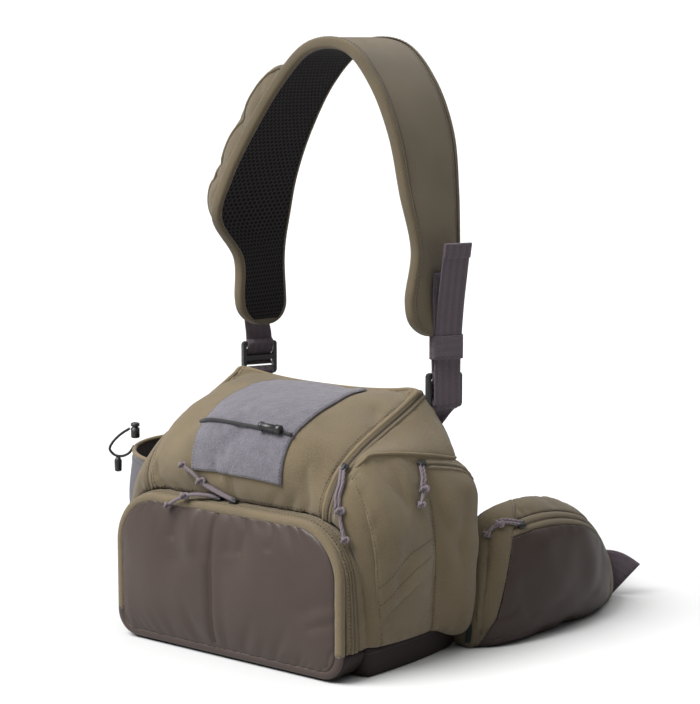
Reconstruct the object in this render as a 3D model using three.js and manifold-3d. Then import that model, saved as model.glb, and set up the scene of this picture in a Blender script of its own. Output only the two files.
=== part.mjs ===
// A soft hip pack that stands on its base: a zipped main compartment, a front pocket, side pockets,
// two padded hip wings joined by a belt, and a padded shoulder strap that arches over the top.
// Millimetres, +Z up. X runs along the front, Y from the front to the back, and the origin is the
// middle of the flat base.

import * as THREE from 'three';
import { mergeVertices } from 'three/addons/utils/BufferGeometryUtils.js';
import Module from 'manifold-3d';

const wasm = await Module();
wasm.setup();

const { PI, sin, cos, abs, min, max } = Math;
const { lerp, clamp, degToRad, smoothstep } = THREE.MathUtils;
const vec = (x, y, z) => new THREE.Vector3(x, y, z);

// Cloth, webbing and clearances
const CLOTH = 2.2;
const STRETCH_CLOTH = 1.6;
const PATCH_CLOTH = 1.8;
const WEBBING = 1.8;
const GAP = 0.4;
const OVERLAY_GAP = 0.9;
const SEAM_GAP = 0.9;
const ZIP_WIDTH = 8;
const CORD_RADIUS = 1.4;
const KNOT_RADIUS = 2.8;
const SLIDER = { wide: 6, long: 9, high: 3 };

// Main body
const BASE = { halfWidth: 123, front: -47, back: 72, height: 24, sideBulge: 7 };
const BASE_ROUND = { corner: 9, edge: 4, bevel: 1.2 };
const FRONT = { half: 123, low: 3.3, high: 129, topRound: 46, lowRound: 20, face: -75, swell: 7 };
const FRONT_SEAM = { low: -47, high: -59 };
const PIPING = { radius: 2, out: 0.8, back: 0.4, panelInset: 2.4 };
const LID_CORNER_X = 93;
const SIDE_HEIGHT = { front: 118, back: 205 };
const SIDE_SWELL = 5;
const BACK_SWELL = 6;

// The lid from its front seam to its back edge: its zipped edge, and its stuffed middle
const LID = [
  { edgeX: 93, edgeY: -59, edgeZ: 129, midY: -60, midZ: 132 },
  { edgeX: 95, edgeY: -61, edgeZ: 141, midY: -66, midZ: 152 },
  { edgeX: 96, edgeY: -55, edgeZ: 156, midY: -65, midZ: 173 },
  { edgeX: 96, edgeY: -40, edgeZ: 171, midY: -55, midZ: 190 },
  { edgeX: 96, edgeY: -17, edgeZ: 184, midY: -33, midZ: 202 },
  { edgeX: 97, edgeY: 10, edgeZ: 196, midY: -5, midZ: 208 },
  { edgeX: 98, edgeY: 38, edgeZ: 208, midY: 27, midZ: 212 },
  { edgeX: 98, edgeY: 61, edgeZ: 219, midY: 60, midZ: 212 },
];
const LID_FULLNESS = 2.6;
const LID_GRID = { across: 14, along: 12 };
const PATCH_SQUARES = { left: 4, right: 11, front: 2, back: 11 };
const TIPPET = { along: 0.42, left: 0.04, right: 0.96, barrelStart: 0.62, barrelEnd: 0.8, barrelRadius: 4 };

// The upright seam between side and back, from the base to the lid
const BACK_EDGE = [
  { x: 123, y: 72, z: 24 },
  { x: 126, y: 73.5, z: 63 },
  { x: 127, y: 74, z: 102 },
  { x: 126.5, y: 73.5, z: 141 },
  { x: 119, y: 70.5, z: 180 },
  { x: 98, y: 61, z: 219 },
];

// Soft hollows and ridges of a panel, each from (u0, v0) to (u1, v1) of it, fading towards its edges
const FOLD_FADE = 0.3;
const FRONT_FOLDS = [
  { u0: 0.26, v0: 0.95, u1: 0.31, v1: 0.62, width: 0.06, depth: -3 },
  { u0: 0.42, v0: 0.97, u1: 0.43, v1: 0.7, width: 0.05, depth: -2 },
  { u0: 0.62, v0: 0.97, u1: 0.58, v1: 0.66, width: 0.06, depth: -2.5 },
  { u0: 0.97, v0: 0.5, u1: 0.9, v1: 0.42, width: 0.06, depth: -2.5 },
  { u0: 0.5, v0: 0.05, u1: 0.5, v1: 0.95, width: 0.05, depth: -1.5 },
];
const LID_FOLDS = [
  { u0: 0.02, v0: 0.3, u1: 0.22, v1: 0.42, width: 0.07, depth: -3 },
  { u0: 0.86, v0: 0.16, u1: 0.98, v1: 0.34, width: 0.07, depth: -2.5 },
  { u0: 0.35, v0: 0.88, u1: 0.65, v1: 0.88, width: 0.08, depth: -2.5 },
];

// Right side pockets: the hem that both hang from, and the stuffed rear pocket
const HEM = { front: 176, back: 162 };
const SLEEVE = { startLow: 0.115, startHigh: 0.3, slope: 2.2, end: 0.6, top: 0.955, swell: 3 };
const POCKET = { start: 0.63, end: 0.965, turn: 0.66, swell: 16, clearance: 0.3, droop: 11 };
const POCKET_SQUARENESS = { low: 12, high: 5 };

// Left stretch pocket for a bottle
const BOTTLE = { front: -10, back: 70, out: 58, low: 9, frontRim: 139, backRim: 154 };
const BOTTLE_FLOOR = { share: 0.2, inner: 0.1, outer: 0.94, roundness: 0.75, clearance: 0.4 };
const DRAWCORD_ROUTE = [
  { x: -189.5, y: 8.5, z: 161 },
  { x: -196, y: 4, z: 156 },
  { x: -202, y: 0, z: 149 },
  { x: -205, y: -2, z: 142 },
  { x: -201.5, y: 0.5, z: 136.5 },
  { x: -195.5, y: 4, z: 137 },
  { x: -192, y: 6.5, z: 143 },
  { x: -190.5, y: 8, z: 151 },
  { x: -185.9, y: 10.1, z: 145.3 },
];
const DRAWCORD_LOCK = { x: -185.5, y: 11.5, z: 159.5, radius: 4, high: 14 };
const DRAWCORD_END = { x: -198.5, y: 2, z: 127.9, radius: 3.5, high: 13 };

// A hip wing from its root to its tip: the pad's outer face, the pocket's belly and its heights
const WING = [
  { y: 77.4, slant: 0, pad: 122, belly: 22, low: 3, high: 60 },
  { y: 106, slant: 12, pad: 127, belly: 34, low: 3, high: 103 },
  { y: 141, slant: 22, pad: 133, belly: 36, low: 3, high: 113 },
  { y: 178, slant: 10, pad: 137, belly: 37, low: 3, high: 112 },
  { y: 218, slant: 3, pad: 138, belly: 36, low: 3, high: 100 },
  { y: 252, slant: 0, pad: 134, belly: 32, low: 3, high: 79 },
  { y: 285, slant: 0, pad: 129, belly: 23, low: 3.4, high: 51 },
];
const WING_SHAPE = { waist: 0.25, lowPower: 0.14, highPower: 0.8, padThick: 8 };
const WING_SHARES = { root: 0.006, bandLow: 0.045, bandRise: 0.32, panelTop: 0.77, zipTop: 0.845, slit: 0.009 };
const WING_STAY = { x: 124.5, front: 77, back: 95, height: 101, width: 20 };

// Belt webbing that closes the waist loop behind the wings
const BELT = { width: 38, height: 22, back: 322 };
const BELT_LOCK = { wide: 9, slot: 4, rim: 3.5, deep: 12, turn: 0.6, behind: 8.4, lift: 2 };
const BUCKLE = { half: 33, high: 44, thick: 13, round: 8, lift: 1 };
const BELT_ROUTE = [
  { x: 125, y: 298.5 },
  { x: 118, y: 310 },
  { x: 98, y: 319 },
  { x: 68, y: 322 },
  { x: 33.5, y: 322 },
];
const TAIL_ROUTE = [
  { x: 132.2, y: 297.4, z: 22.5 },
  { x: 140, y: 301.4, z: 23 },
  { x: 147, y: 304.4, z: 21 },
  { x: 155, y: 308, z: 15.2 },
];
const TAIL_TILT = { x: 0.525, y: 0.415, z: 0.74 };

// The shoulder strap's middle line from its left end to its right end, with half its width
const STRAP = [
  { x: -86, y: 77, z: 258, half: 23, turn: 14 },
  { x: -88, y: 76, z: 284, half: 29, turn: 4 },
  { x: -89, y: 76, z: 320, half: 31, turn: 0 },
  { x: -89, y: 66, z: 356, half: 49, turn: 0 },
  { x: -80, y: 68, z: 392, half: 47, turn: 0 },
  { x: -62, y: 72, z: 432, half: 42, turn: 0 },
  { x: -35, y: 75, z: 474, half: 38, turn: 0 },
  { x: -2, y: 75, z: 502, half: 38, turn: 0 },
  { x: 39, y: 75, z: 502, half: 41, turn: 0 },
  { x: 68, y: 75, z: 473, half: 42, turn: 0 },
  { x: 87, y: 75, z: 431, half: 41, turn: 0 },
  { x: 96, y: 74, z: 384, half: 37, turn: 0 },
  { x: 101, y: 76, z: 338, half: 30, turn: 0 },
  { x: 100, y: 74, z: 296, half: 32, turn: 4 },
  { x: 104, y: 76, z: 264, half: 25, turn: 14 },
];
const STRAP_SHAPE = { thick: 8, edge: 2.6, squareness: 4, endTaper: 12, steps: 32 };
const STRAP_MESH = { thick: 2, inset: 0.07 };
const STRAP_POCKET = { start: 0.2, end: 0.44, inset: 0.05, swell: 17, squareness: 6 };

// Webbing at the strap's ends; it lies across the lock lower down and flat on the pad higher up
const STRAP_WEB = { width: 25, turn: 25, padTurn: 4, settleLow: 240, settleHigh: 292 };
const STRAP_LOCK = { width: 33, high: 30, thick: 5, bar: 4.5, round: 3 };
const RIGHT_WEB = [
  { x: 110.7, y: 77, z: 318 },
  { x: 109.9, y: 77, z: 292 },
  { x: 110.8, y: 79, z: 266 },
  { x: 109.2, y: 81, z: 250 },
  { x: 107, y: 85, z: 232.5 },
];
const LEFT_WEB = [
  { x: -98.6, y: 76, z: 300 },
  { x: -98, y: 76, z: 280 },
  { x: -97, y: 78, z: 262 },
  { x: -99, y: 83, z: 250 },
  { x: -100, y: 85, z: 241.5 },
];
const STRAP_ENDS = [
  { name: 'right', backShare: 0.11, lock: { x: 106, y: 85, z: 217 }, webRoute: RIGHT_WEB },
  { name: 'left', backShare: 0.89, lock: { x: -100, y: 85, z: 226 }, webRoute: LEFT_WEB },
];
const ANCHOR = { high: 0.82, low: 0.66, stand: 4, drop: 0.8, turned: 0.4 };
const STRAP_TAIL = [
  { x: 111, y: 83.5, z: 204 },
  { x: 111.6, y: 82, z: 232 },
  { x: 113.6, y: 80, z: 255 },
  { x: 118.5, y: 76.5, z: 288 },
  { x: 124.5, y: 73, z: 318 },
  { x: 130, y: 70, z: 344 },
];
const KEEPER = { x: 111.3, y: 80.5, z: 249.5, deep: 13.8, high: 15, slack: 4.8 };

// Zip sliders, the routes of their pull cords, and the label
const FRONT_PULL_Y = -67.4;
const UPPER_PULL = [
  { x: -24, y: -71.5, z: 143 },
  { x: -37, y: -73, z: 152 },
  { x: -49, y: -73.5, z: 158 },
];
const LOWER_PULL = [
  { x: -24, y: -73, z: 135.5 },
  { x: -40, y: -79.5, z: 134 },
  { x: -58, y: -82, z: 124 },
];
const FRONT_PULLS = [
  { name: 'front_pull_upper', x: 3, route: UPPER_PULL },
  { name: 'front_pull_lower', x: -14, route: LOWER_PULL },
];
const LID_PULL = [
  { x: 107.5, y: -54.5, z: 159 },
  { x: 108.5, y: -60.1, z: 148.7 },
  { x: 112.5, y: -63.5, z: 131.9 },
  { x: 118, y: -65, z: 117 },
];
const SIDE_SLIDER = { x: 130.5, y: 21.4, z: 166.2 };
const SIDE_PULL = [
  { x: 136.2, y: 17.5, z: 156 },
  { x: 139, y: 12, z: 146.5 },
  { x: 141.2, y: 6, z: 136.5 },
];
const WING_PULL = [
  { along: 0.22, up: 0.85, lift: 5.4 },
  { along: 0.18, up: 0.87, lift: 5.4 },
  { along: 0.14, up: 0.88, lift: 5.4 },
];
const LID_SLIDER = 0.318;
const WING_SLIDER = { along: 0.29, up: 0.81 };
const LABEL = { start: 0.012, end: 0.05, low: 0.22, high: 0.5, thick: 1 };

// Cloth colours, roughness and metalness
const finish = (color, roughness, metalness = 0) =>
  new THREE.MeshStandardMaterial({ color, roughness, metalness });
const OLIVE = finish(0x7a6e55, 0.9);
const BROWN = finish(0x5a504a, 0.6);
const DARK_BROWN = finish(0x3c3230, 0.6);
const GREY = finish(0x78737a, 0.95);
const MAUVE = finish(0x554b50, 0.85);
const MESH_BLACK = finish(0x1c1b1c, 0.95);
const PLASTIC = finish(0x161616, 0.45);
const GREEN = finish(0x24352c, 0.8);

const pack = new THREE.Group();

function add(name, geometry, material) {
  const mesh = new THREE.Mesh(geometry, material);
  mesh.name = name;
  pack.add(mesh);
}

// The named columns of a table at t, from 0 at its first row to 1 at its last, on a smooth curve
function rowAt(table, t) {
  const place = clamp(t, 0, 1) * (table.length - 1);
  const i = min(Math.floor(place), table.length - 2);
  const f = place - i;
  const [a, b, c, d] = [i - 1, i, i + 1, i + 2].map((k) => table[clamp(k, 0, table.length - 1)]);
  const smooth = (key) => {
    const bend = 2 * a[key] - 5 * b[key] + 4 * c[key] - d[key];
    const twist = 3 * b[key] - a[key] - 3 * c[key] + d[key];
    return b[key] + 0.5 * f * (c[key] - a[key] + f * (bend + f * twist));
  };
  return Object.fromEntries(Object.keys(b).map((key) => [key, smooth(key)]));
}

// The outward direction of a surface point(u, v)
function normalAt(point, u, v) {
  const step = 1e-3;
  const du = point(min(u + step, 1), v).sub(point(max(u - step, 0), v));
  const dv = point(u, min(v + step, 1)).sub(point(u, max(v - step, 0)));
  return du.cross(dv).normalize();
}

// A surface moved outwards by height, a number or a function of (u, v)
function raised(point, height) {
  const at = typeof height === 'function' ? height : () => height;
  return (u, v) => point(u, v).addScaledVector(normalAt(point, u, v), at(u, v));
}

// The part of a surface from u0 to u1 and v0 to v1
function region(point, u0, u1, v0, v1) {
  return (u, v) => point(lerp(u0, u1, u), lerp(v0, v1, v));
}

// The same surface on the other side of the pack
function mirrored(point) {
  return (u, v) => point(1 - u, v).multiply(vec(-1, 1, 1));
}

// A closed body between two grids of the same size, the second one outside the first
function between(inside, outside, nu, nv) {
  const positions = [];
  for (const layer of [inside, outside]) {
    for (let j = 0; j <= nv; j++) {
      for (let i = 0; i <= nu; i++) positions.push(...layer(i / nu, j / nv));
    }
  }
  const at = (layer, i, j) => (layer * (nv + 1) + j) * (nu + 1) + i;
  const index = [];
  const quad = (a, b, c, d) => index.push(a, b, c, a, c, d);
  for (let j = 0; j < nv; j++) {
    for (let i = 0; i < nu; i++) {
      quad(at(1, i, j), at(1, i + 1, j), at(1, i + 1, j + 1), at(1, i, j + 1));
      quad(at(0, i, j), at(0, i, j + 1), at(0, i + 1, j + 1), at(0, i + 1, j));
    }
  }
  for (let i = 0; i < nu; i++) {
    quad(at(0, i, 0), at(0, i + 1, 0), at(1, i + 1, 0), at(1, i, 0));
    quad(at(1, i, nv), at(1, i + 1, nv), at(0, i + 1, nv), at(0, i, nv));
  }
  for (let j = 0; j < nv; j++) {
    quad(at(0, 0, j + 1), at(0, 0, j), at(1, 0, j), at(1, 0, j + 1));
    quad(at(0, nu, j), at(0, nu, j + 1), at(1, nu, j + 1), at(1, nu, j));
  }
  const geometry = new THREE.BufferGeometry();
  geometry.setAttribute('position', new THREE.Float32BufferAttribute(positions, 3));
  geometry.setIndex(index);
  return geometry;
}

// A cloth wall on the surface point(u, v), from low to high above it
function wall(point, nu, nv, low = 0, high = CLOTH) {
  return between(raised(point, low), raised(point, high), nu, nv);
}

// Flat webbing along a route of points; across(u, z) gives the direction of its width
function webbing(route, width, steps, across, thickness = WEBBING) {
  const curve = new THREE.CatmullRomCurve3(route);
  const strip = (u, v) => {
    const middle = curve.getPoint(u);
    return middle.addScaledVector(across(u, middle.z), (v - 0.5) * width);
  };
  return wall(strip, steps, 1, -thickness / 2, thickness / 2);
}

// The direction that lies degrees from +Y towards +X
const turnedAcross = (degrees) => vec(sin(degToRad(degrees)), cos(degToRad(degrees)), 0);
const UPRIGHT = () => vec(0, 0, 1);

// A round cord along a route of points
function cord(route, radius = CORD_RADIUS, steps = 8, sides = 6) {
  const ring = new THREE.EllipseCurve(0, 0, radius, radius).getPoints(sides);
  const section = new THREE.Shape(ring.slice(0, -1));
  const extrudePath = new THREE.CatmullRomCurve3(route);
  return new THREE.ExtrudeGeometry(section, { steps, bevelEnabled: false, extrudePath });
}

// A rectangle with round corners, as a shape or as a hole in one
function roundRectangle(width, height, radius, Kind = THREE.Shape, centreY = 0) {
  const [x, y] = [width / 2 - radius, height / 2 - radius];
  const outline = new Kind();
  outline.absarc(x, centreY + y, radius, 0, PI / 2);
  outline.absarc(-x, centreY + y, radius, PI / 2, PI);
  outline.absarc(-x, centreY - y, radius, PI, 1.5 * PI);
  outline.absarc(x, centreY - y, radius, 1.5 * PI, 2 * PI);
  return outline;
}

// A zip slider on a surface, with a knotted cord that hangs from it along a route of points
function pull(place, outward, along, route) {
  const slider = new THREE.BoxGeometry(SLIDER.long, SLIDER.wide, SLIDER.high);
  const across = outward.clone().cross(along).normalize();
  const ahead = across.clone().cross(outward);
  slider.applyMatrix4(new THREE.Matrix4().makeBasis(ahead, across, outward));
  slider.translate(...place);
  const knot = new THREE.IcosahedronGeometry(KNOT_RADIUS).translate(...route[route.length - 1]);
  return fused([slider, knot, cord([place, ...route], CORD_RADIUS, 7, 5)]);
}

// A flat plate of a shape, with its middle at the origin
function plate(shape, thickness, curveSegments = 1) {
  const options = { depth: thickness, bevelEnabled: false, curveSegments };
  return new THREE.ExtrudeGeometry(shape, options).translate(0, 0, -thickness / 2);
}

// One solid out of several that overlap
function fused(geometries) {
  const solids = geometries.map((geometry) => {
    const bare = geometry.clone();
    bare.deleteAttribute('normal');
    bare.deleteAttribute('uv');
    const merged = mergeVertices(bare, 1e-4);
    const triVerts = new Uint32Array(merged.index.array);
    const vertProperties = new Float32Array(merged.attributes.position.array);
    return new wasm.Manifold(new wasm.Mesh({ numProp: 3, vertProperties, triVerts }));
  });
  const mesh = solids.reduce((a, b) => a.add(b)).getMesh();
  const geometry = new THREE.BufferGeometry();
  geometry.setAttribute('position', new THREE.Float32BufferAttribute(mesh.vertProperties, 3));
  geometry.setIndex([...mesh.triVerts]);
  return geometry;
}

// How far the folds of a panel raise it at (u, v)
function relief(folds, u, v) {
  let height = 0;
  for (const { u0, v0, u1, v1, width, depth } of folds) {
    const [du, dv] = [u1 - u0, v1 - v0];
    const t = clamp(((u - u0) * du + (v - v0) * dv) / (du * du + dv * dv), 0, 1);
    const away = Math.hypot(u - u0 - t * du, v - v0 - t * dv) / width;
    height += depth * Math.exp(-away * away);
  }
  return height * (sin(PI * clamp(u, 0, 1)) * sin(PI * clamp(v, 0, 1))) ** FOLD_FADE;
}

// A surface through four edges that share their corners, swollen in its middle
function stretched(bottom, top, left, right, swell) {
  const flat = (u, v) => {
    const across = bottom(u).multiplyScalar(1 - v).addScaledVector(top(u), v);
    const up = left(v).multiplyScalar(1 - u).addScaledVector(right(v), u);
    const low = bottom(0).multiplyScalar(1 - u).addScaledVector(bottom(1), u);
    const high = top(0).multiplyScalar(1 - u).addScaledVector(top(1), u);
    return across.add(up).sub(low.multiplyScalar(1 - v).addScaledVector(high, v));
  };
  const puff = (u, v) => swell * sin(PI * u) * sin(PI * v);
  return raised(flat, puff);
}

// Front pocket outline, counter-clockwise from the middle of its bottom
function frontOutline() {
  const { half, low, high, topRound, lowRound } = FRONT;
  const path = new THREE.Path();
  path.moveTo(0, low);
  path.lineTo(half - lowRound, low);
  path.absarc(half - lowRound, low + lowRound, lowRound, -PI / 2, 0);
  path.absarc(half - topRound, high - topRound, topRound, 0, PI / 2);
  path.absarc(topRound - half, high - topRound, topRound, PI / 2, PI);
  path.absarc(lowRound - half, low + lowRound, lowRound, PI, 1.5 * PI);
  path.lineTo(0, low);
  return path;
}
const outline = frontOutline();
const outlineLength = outline.getLength();
const outlineAt = (share) => outline.getPoint(share - Math.floor(share));
const seamY = (z) => lerp(FRONT_SEAM.low, FRONT_SEAM.high, smoothstep(z, BASE.height, FRONT.high));

// Where the base ends and where the lid starts on the outline, as shares of its length
const lowerStretch = FRONT.half - FRONT.lowRound + (FRONT.lowRound * PI) / 2;
const straightStretch = FRONT.high - FRONT.topRound - FRONT.low - FRONT.lowRound;
const lidAngle = Math.acos((LID_CORNER_X - FRONT.half + FRONT.topRound) / FRONT.topRound);
const rimShare = (lowerStretch + BASE.height - FRONT.low - FRONT.lowRound) / outlineLength;
const cornerShare = (lowerStretch + straightStretch + FRONT.topRound * lidAngle) / outlineLength;

// Half the width of the front panel at height z, inside its piping
function frontHalfWidth(z, inset) {
  const { half, low, high, topRound, lowRound } = FRONT;
  const rise = z - (high - topRound);
  const drop = low + lowRound - z;
  if (rise <= 0 && drop <= 0) return half - inset;
  const round = rise > 0 ? topRound : lowRound;
  const reach = (round - inset) ** 2 - max(rise, drop) ** 2;
  return half - round + Math.sqrt(max(reach, 0));
}

// A panel of the front outline from height low up, with closer rows near its round corners
function frontSurface(inset, low, depthAt) {
  return (u, v) => {
    const share = (1 - cos(PI * v)) / 2;
    const z = lerp(low, FRONT.high - inset, share);
    return vec((2 * u - 1) * frontHalfWidth(z, inset), depthAt(u, share, z), z);
  };
}

// The lid, from left to right and from front to back; its front seam follows the pocket's outline
function lid(u, v) {
  const across = 2 * u - 1;
  const row = rowAt(LID, v);
  const full = 1 - abs(across) ** LID_FULLNESS;
  const intoRound = max(abs(across) * LID_CORNER_X - FRONT.half + FRONT.topRound, 0);
  const outlineZ = FRONT.high - FRONT.topRound + Math.sqrt(FRONT.topRound ** 2 - intoRound ** 2);
  const seamZ = outlineZ + CLOTH + OVERLAY_GAP;
  const lift = (seamZ - lerp(LID[0].edgeZ, LID[0].midZ, full)) * (1 - v) ** 6;
  const y = lerp(row.edgeY, row.midY, full);
  return vec(across * row.edgeX, y, lerp(row.edgeZ, row.midZ, full) + lift);
}
// The lid's right edge, with its steep front part taking a smaller share of the length
const lidEdge = (t) => lid(1, t + 0.4 * t * (1 - t));

function backEdge(t) {
  const { x, y, z } = rowAt(BACK_EDGE, t);
  return vec(x, y, z);
}

// The right side, from front to back and from the base to the zip
const sideBottom = (t) =>
  vec(BASE.halfWidth + BASE.sideBulge * sin(PI * t), lerp(BASE.front, BASE.back, t), BASE.height + GAP);
const sideFront = (t) => {
  const { x, y: z } = outlineAt(lerp(rimShare, cornerShare, t));
  const lift = (lidEdge(0).z - z) * t ** 4;
  return vec(x, seamY(z), z + GAP * (1 - t) + lift);
};
const side = stretched(sideBottom, lidEdge, sideFront, backEdge, SIDE_SWELL);

// How far out the right side is at (y, z), found by stepping towards that place
function sideX(y, z) {
  let [u, v] = [0.5, 0.5];
  for (let i = 0; i < 8; i++) {
    const p = side(u, v);
    u = clamp(u + (y - p.y) / (BASE.back - BASE.front), 0, 1);
    v = clamp(v + (z - p.z) / (FRONT.high + FRONT.topRound), 0, 1);
  }
  return side(u, v).x;
}

// The back, from right to left and from the base to the zip
const acrossX = (point, t) => point.multiply(vec(1 - 2 * t, 1, 1));
const back = stretched(
  (t) => acrossX(backEdge(0), t),
  (t) => lid(1 - t, 1),
  (t) => backEdge(t),
  (t) => backEdge(t).multiply(vec(-1, 1, 1)),
  BACK_SWELL,
);

// The zip's share of the side's height at u
const zipShare = (u) => ZIP_WIDTH / lerp(SIDE_HEIGHT.front, SIDE_HEIGHT.back, u);

// The base: a shallow tray with rounded lower edges and bowed sides
function baseTray() {
  const { edge, bevel, corner: round } = BASE_ROUND;
  const sections = [
    { inset: edge, z: 0 },
    { inset: bevel, z: bevel },
    { inset: 0, z: edge },
    { inset: 0, z: BASE.height },
  ];
  const sides = 28;
  const ring = (inset, z) => {
    const shape = new THREE.Shape();
    const x = BASE.halfWidth - inset;
    const front = BASE.front + inset;
    const rear = BASE.back - inset;
    shape.moveTo(round - x, front);
    shape.lineTo(x - round, front);
    shape.quadraticCurveTo(x, front, x + 1, front + round);
    shape.quadraticCurveTo(x + 2 * BASE.sideBulge - 1, (front + rear) / 2, x + 1, rear - round);
    shape.quadraticCurveTo(x, rear, x - round, rear);
    shape.lineTo(round - x, rear);
    shape.quadraticCurveTo(-x, rear, -x - 1, rear - round);
    shape.quadraticCurveTo(1 - x - 2 * BASE.sideBulge, (front + rear) / 2, -x - 1, front + round);
    shape.quadraticCurveTo(-x, front, round - x, front);
    const points = shape.getSpacedPoints(sides).slice(0, sides);
    return points.map((p) => vec(p.x, p.y, z));
  };
  const outer = sections.map(({ inset, z }) => ring(inset, z));
  const inner = sections.map(({ inset, z }) => ring(inset + CLOTH, min(z + CLOTH, BASE.height)));
  const rings = [...outer, ...inner.reverse()];
  const positions = rings.flat().flatMap((p) => [p.x, p.y, p.z]);
  const index = [];
  for (let r = 0; r < rings.length - 1; r++) {
    for (let i = 0; i < sides; i++) {
      const [a, b] = [r * sides + i, r * sides + ((i + 1) % sides)];
      index.push(a, b, b + sides, a, b + sides, a + sides);
    }
  }
  const middle = (z) => positions.push(0, (BASE.front + BASE.back) / 2, z) / 3 - 1;
  const [under, over] = [middle(0), middle(CLOTH)];
  const last = (rings.length - 1) * sides;
  for (let i = 0; i < sides; i++) {
    const next = (i + 1) % sides;
    index.push(under, next, i, over, last + i, last + next);
  }
  const geometry = new THREE.BufferGeometry();
  geometry.setAttribute('position', new THREE.Float32BufferAttribute(positions, 3));
  geometry.setIndex(index);
  return geometry;
}

// Main compartment
function addMainBody() {
  add('base_tray', baseTray(), BROWN);
  const sideWall = (u, v) => side(lerp(0.008, 0.997, u), v * (1 - zipShare(u) - 0.004));
  add('side_panel_right', wall(sideWall, 10, 10), OLIVE);
  add('side_panel_left', wall(mirrored(sideWall), 10, 10), OLIVE);
  const backTop = 1 - zipShare(1) - 0.004;
  add('back_panel', wall(region(back, 0.003, 0.997, 0.003, backTop), 8, 6), OLIVE);
  const frontWall = frontSurface(1, BASE.height + GAP, (u, share, z) => seamY(z) + GAP / 2);
  add('front_wall', wall(frontWall, 6, 6, -CLOTH, 0), OLIVE);
  const foldedLid = raised(lid, (u, v) => relief(LID_FOLDS, u, v));
  const { across, along } = LID_GRID;
  add('lid', wall(region(foldedLid, 0.006, 0.994, 0.004, 0.994), across, along), OLIVE);
  const { left, right, front, back: rear } = PATCH_SQUARES;
  const patch = region(foldedLid, left / across, right / across, front / along, rear / along);
  const patchLow = CLOTH + OVERLAY_GAP;
  const patchHigh = patchLow + PATCH_CLOTH;
  add('fly_patch', wall(patch, right - left, rear - front, patchLow, patchHigh), GREY);

  // The zip runs up the right side, across the back and down the left side
  const sideStretch = 0.4;
  const zip = (t, w) => {
    if (t > 1 - sideStretch) return zip(1 - t, w).multiply(vec(-1, 1, 1));
    const reach = min(t / sideStretch, 1);
    const height = lerp(1 - zipShare(reach), 0.99, w);
    if (t <= sideStretch) return side(lerp(0.03, 1, reach), height);
    return back((t - sideStretch) / (1 - 2 * sideStretch), height);
  };
  add('lid_zip', wall(zip, 32, 1), OLIVE);

  const cordLift = patchHigh + GAP + CORD_RADIUS;
  const cordAt = (u) => raised(patch, cordLift)(u, TIPPET.along);
  const barrelLift = patchHigh + GAP + TIPPET.barrelRadius;
  const barrelAt = (u) => raised(patch, barrelLift)(u, TIPPET.along);
  const route = [TIPPET.left, 0.3, 0.6, TIPPET.right].map(cordAt);
  const barrelRoute = [TIPPET.barrelStart, TIPPET.barrelEnd].map(barrelAt);
  const barrel = cord(barrelRoute, TIPPET.barrelRadius, 2, 10);
  add('tippet_cord', fused([cord(route, CORD_RADIUS, 6), barrel]), PLASTIC);
}

// Front pocket: a swollen panel, piping, and a gusset of two strips with a zip between them
function addFrontPocket() {
  const { face, swell } = FRONT;
  const { radius, out, back: behind, panelInset } = PIPING;
  const crown = (t) => 1 - abs(2 * t - 1) ** 2.5;
  const bulge = (u, share) => -swell * crown(u) * crown(share);
  const panel = frontSurface(panelInset, FRONT.low + panelInset, (u, share) => face + bulge(u, share));
  const folded = raised(panel, (u, v) => relief(FRONT_FOLDS, u, (1 - cos(PI * v)) / 2));
  add('front_panel', wall(folded, 14, 10), BROWN);

  const pipingPoints = 60;
  const pipingRoute = Array.from({ length: pipingPoints + 1 }, (_, i) => {
    const share = lerp(0.001, 0.999, i / pipingPoints);
    const { x, y: z } = outlineAt(share);
    const ahead = outline.getTangent(share);
    return vec(x + ahead.y * out, face + behind, z - ahead.x * out);
  });
  add('front_piping', cord(pipingRoute, radius, 44, 5), OLIVE);

  const start = face + behind + radius + GAP;
  const gusset = (from, to, near, far) => (u, v) => {
    const { x, y: z } = outlineAt(lerp(from, to, u));
    return vec(x, lerp(start, seamY(z) - SEAM_GAP, lerp(far, near, v)), z);
  };
  const strips = [
    { name: 'front_strip', near: 0, far: 0.33, material: OLIVE },
    { name: 'front_zip', near: 0.35, far: 0.64, material: MAUVE },
    { name: 'rear_strip', near: 0.66, far: 1, material: OLIVE },
  ];
  for (const { name, near, far, material } of strips) {
    add(name, wall(gusset(rimShare, 1 - rimShare, near, far), 36, 1), material);
  }
  const lowerShare = rimShare - GAP / outlineLength;
  add('front_pocket_base', wall(gusset(-lowerShare, lowerShare, 0, 1), 16, 1), BROWN);
}

// Right side: a flat tool sleeve in front of a stuffed pocket, both under one hem
const hemShare = (u) => {
  const top = side(u, 1).z;
  const hem = lerp(HEM.front, HEM.back, u);
  return min((hem - BASE.height) / (top - BASE.height), 0.985 - zipShare(u));
};
const underHem = (u, v) => side(u, lerp(0.004, hemShare(u), v));
const sleeveLow = CLOTH + OVERLAY_GAP;
const sleeveSwell = (u, v) => SLEEVE.swell * sin(PI * u) ** 0.7 * sin(PI * v) ** 0.7;
const sleeveArea = (u, v) => {
  const start = lerp(SLEEVE.startLow, SLEEVE.startHigh, v ** SLEEVE.slope);
  return underHem(lerp(start, SLEEVE.end, u), v * SLEEVE.top);
};
const sleeve = raised(sleeveArea, (u, v) => sleeveLow + sleeveSwell(u, v));

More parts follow.
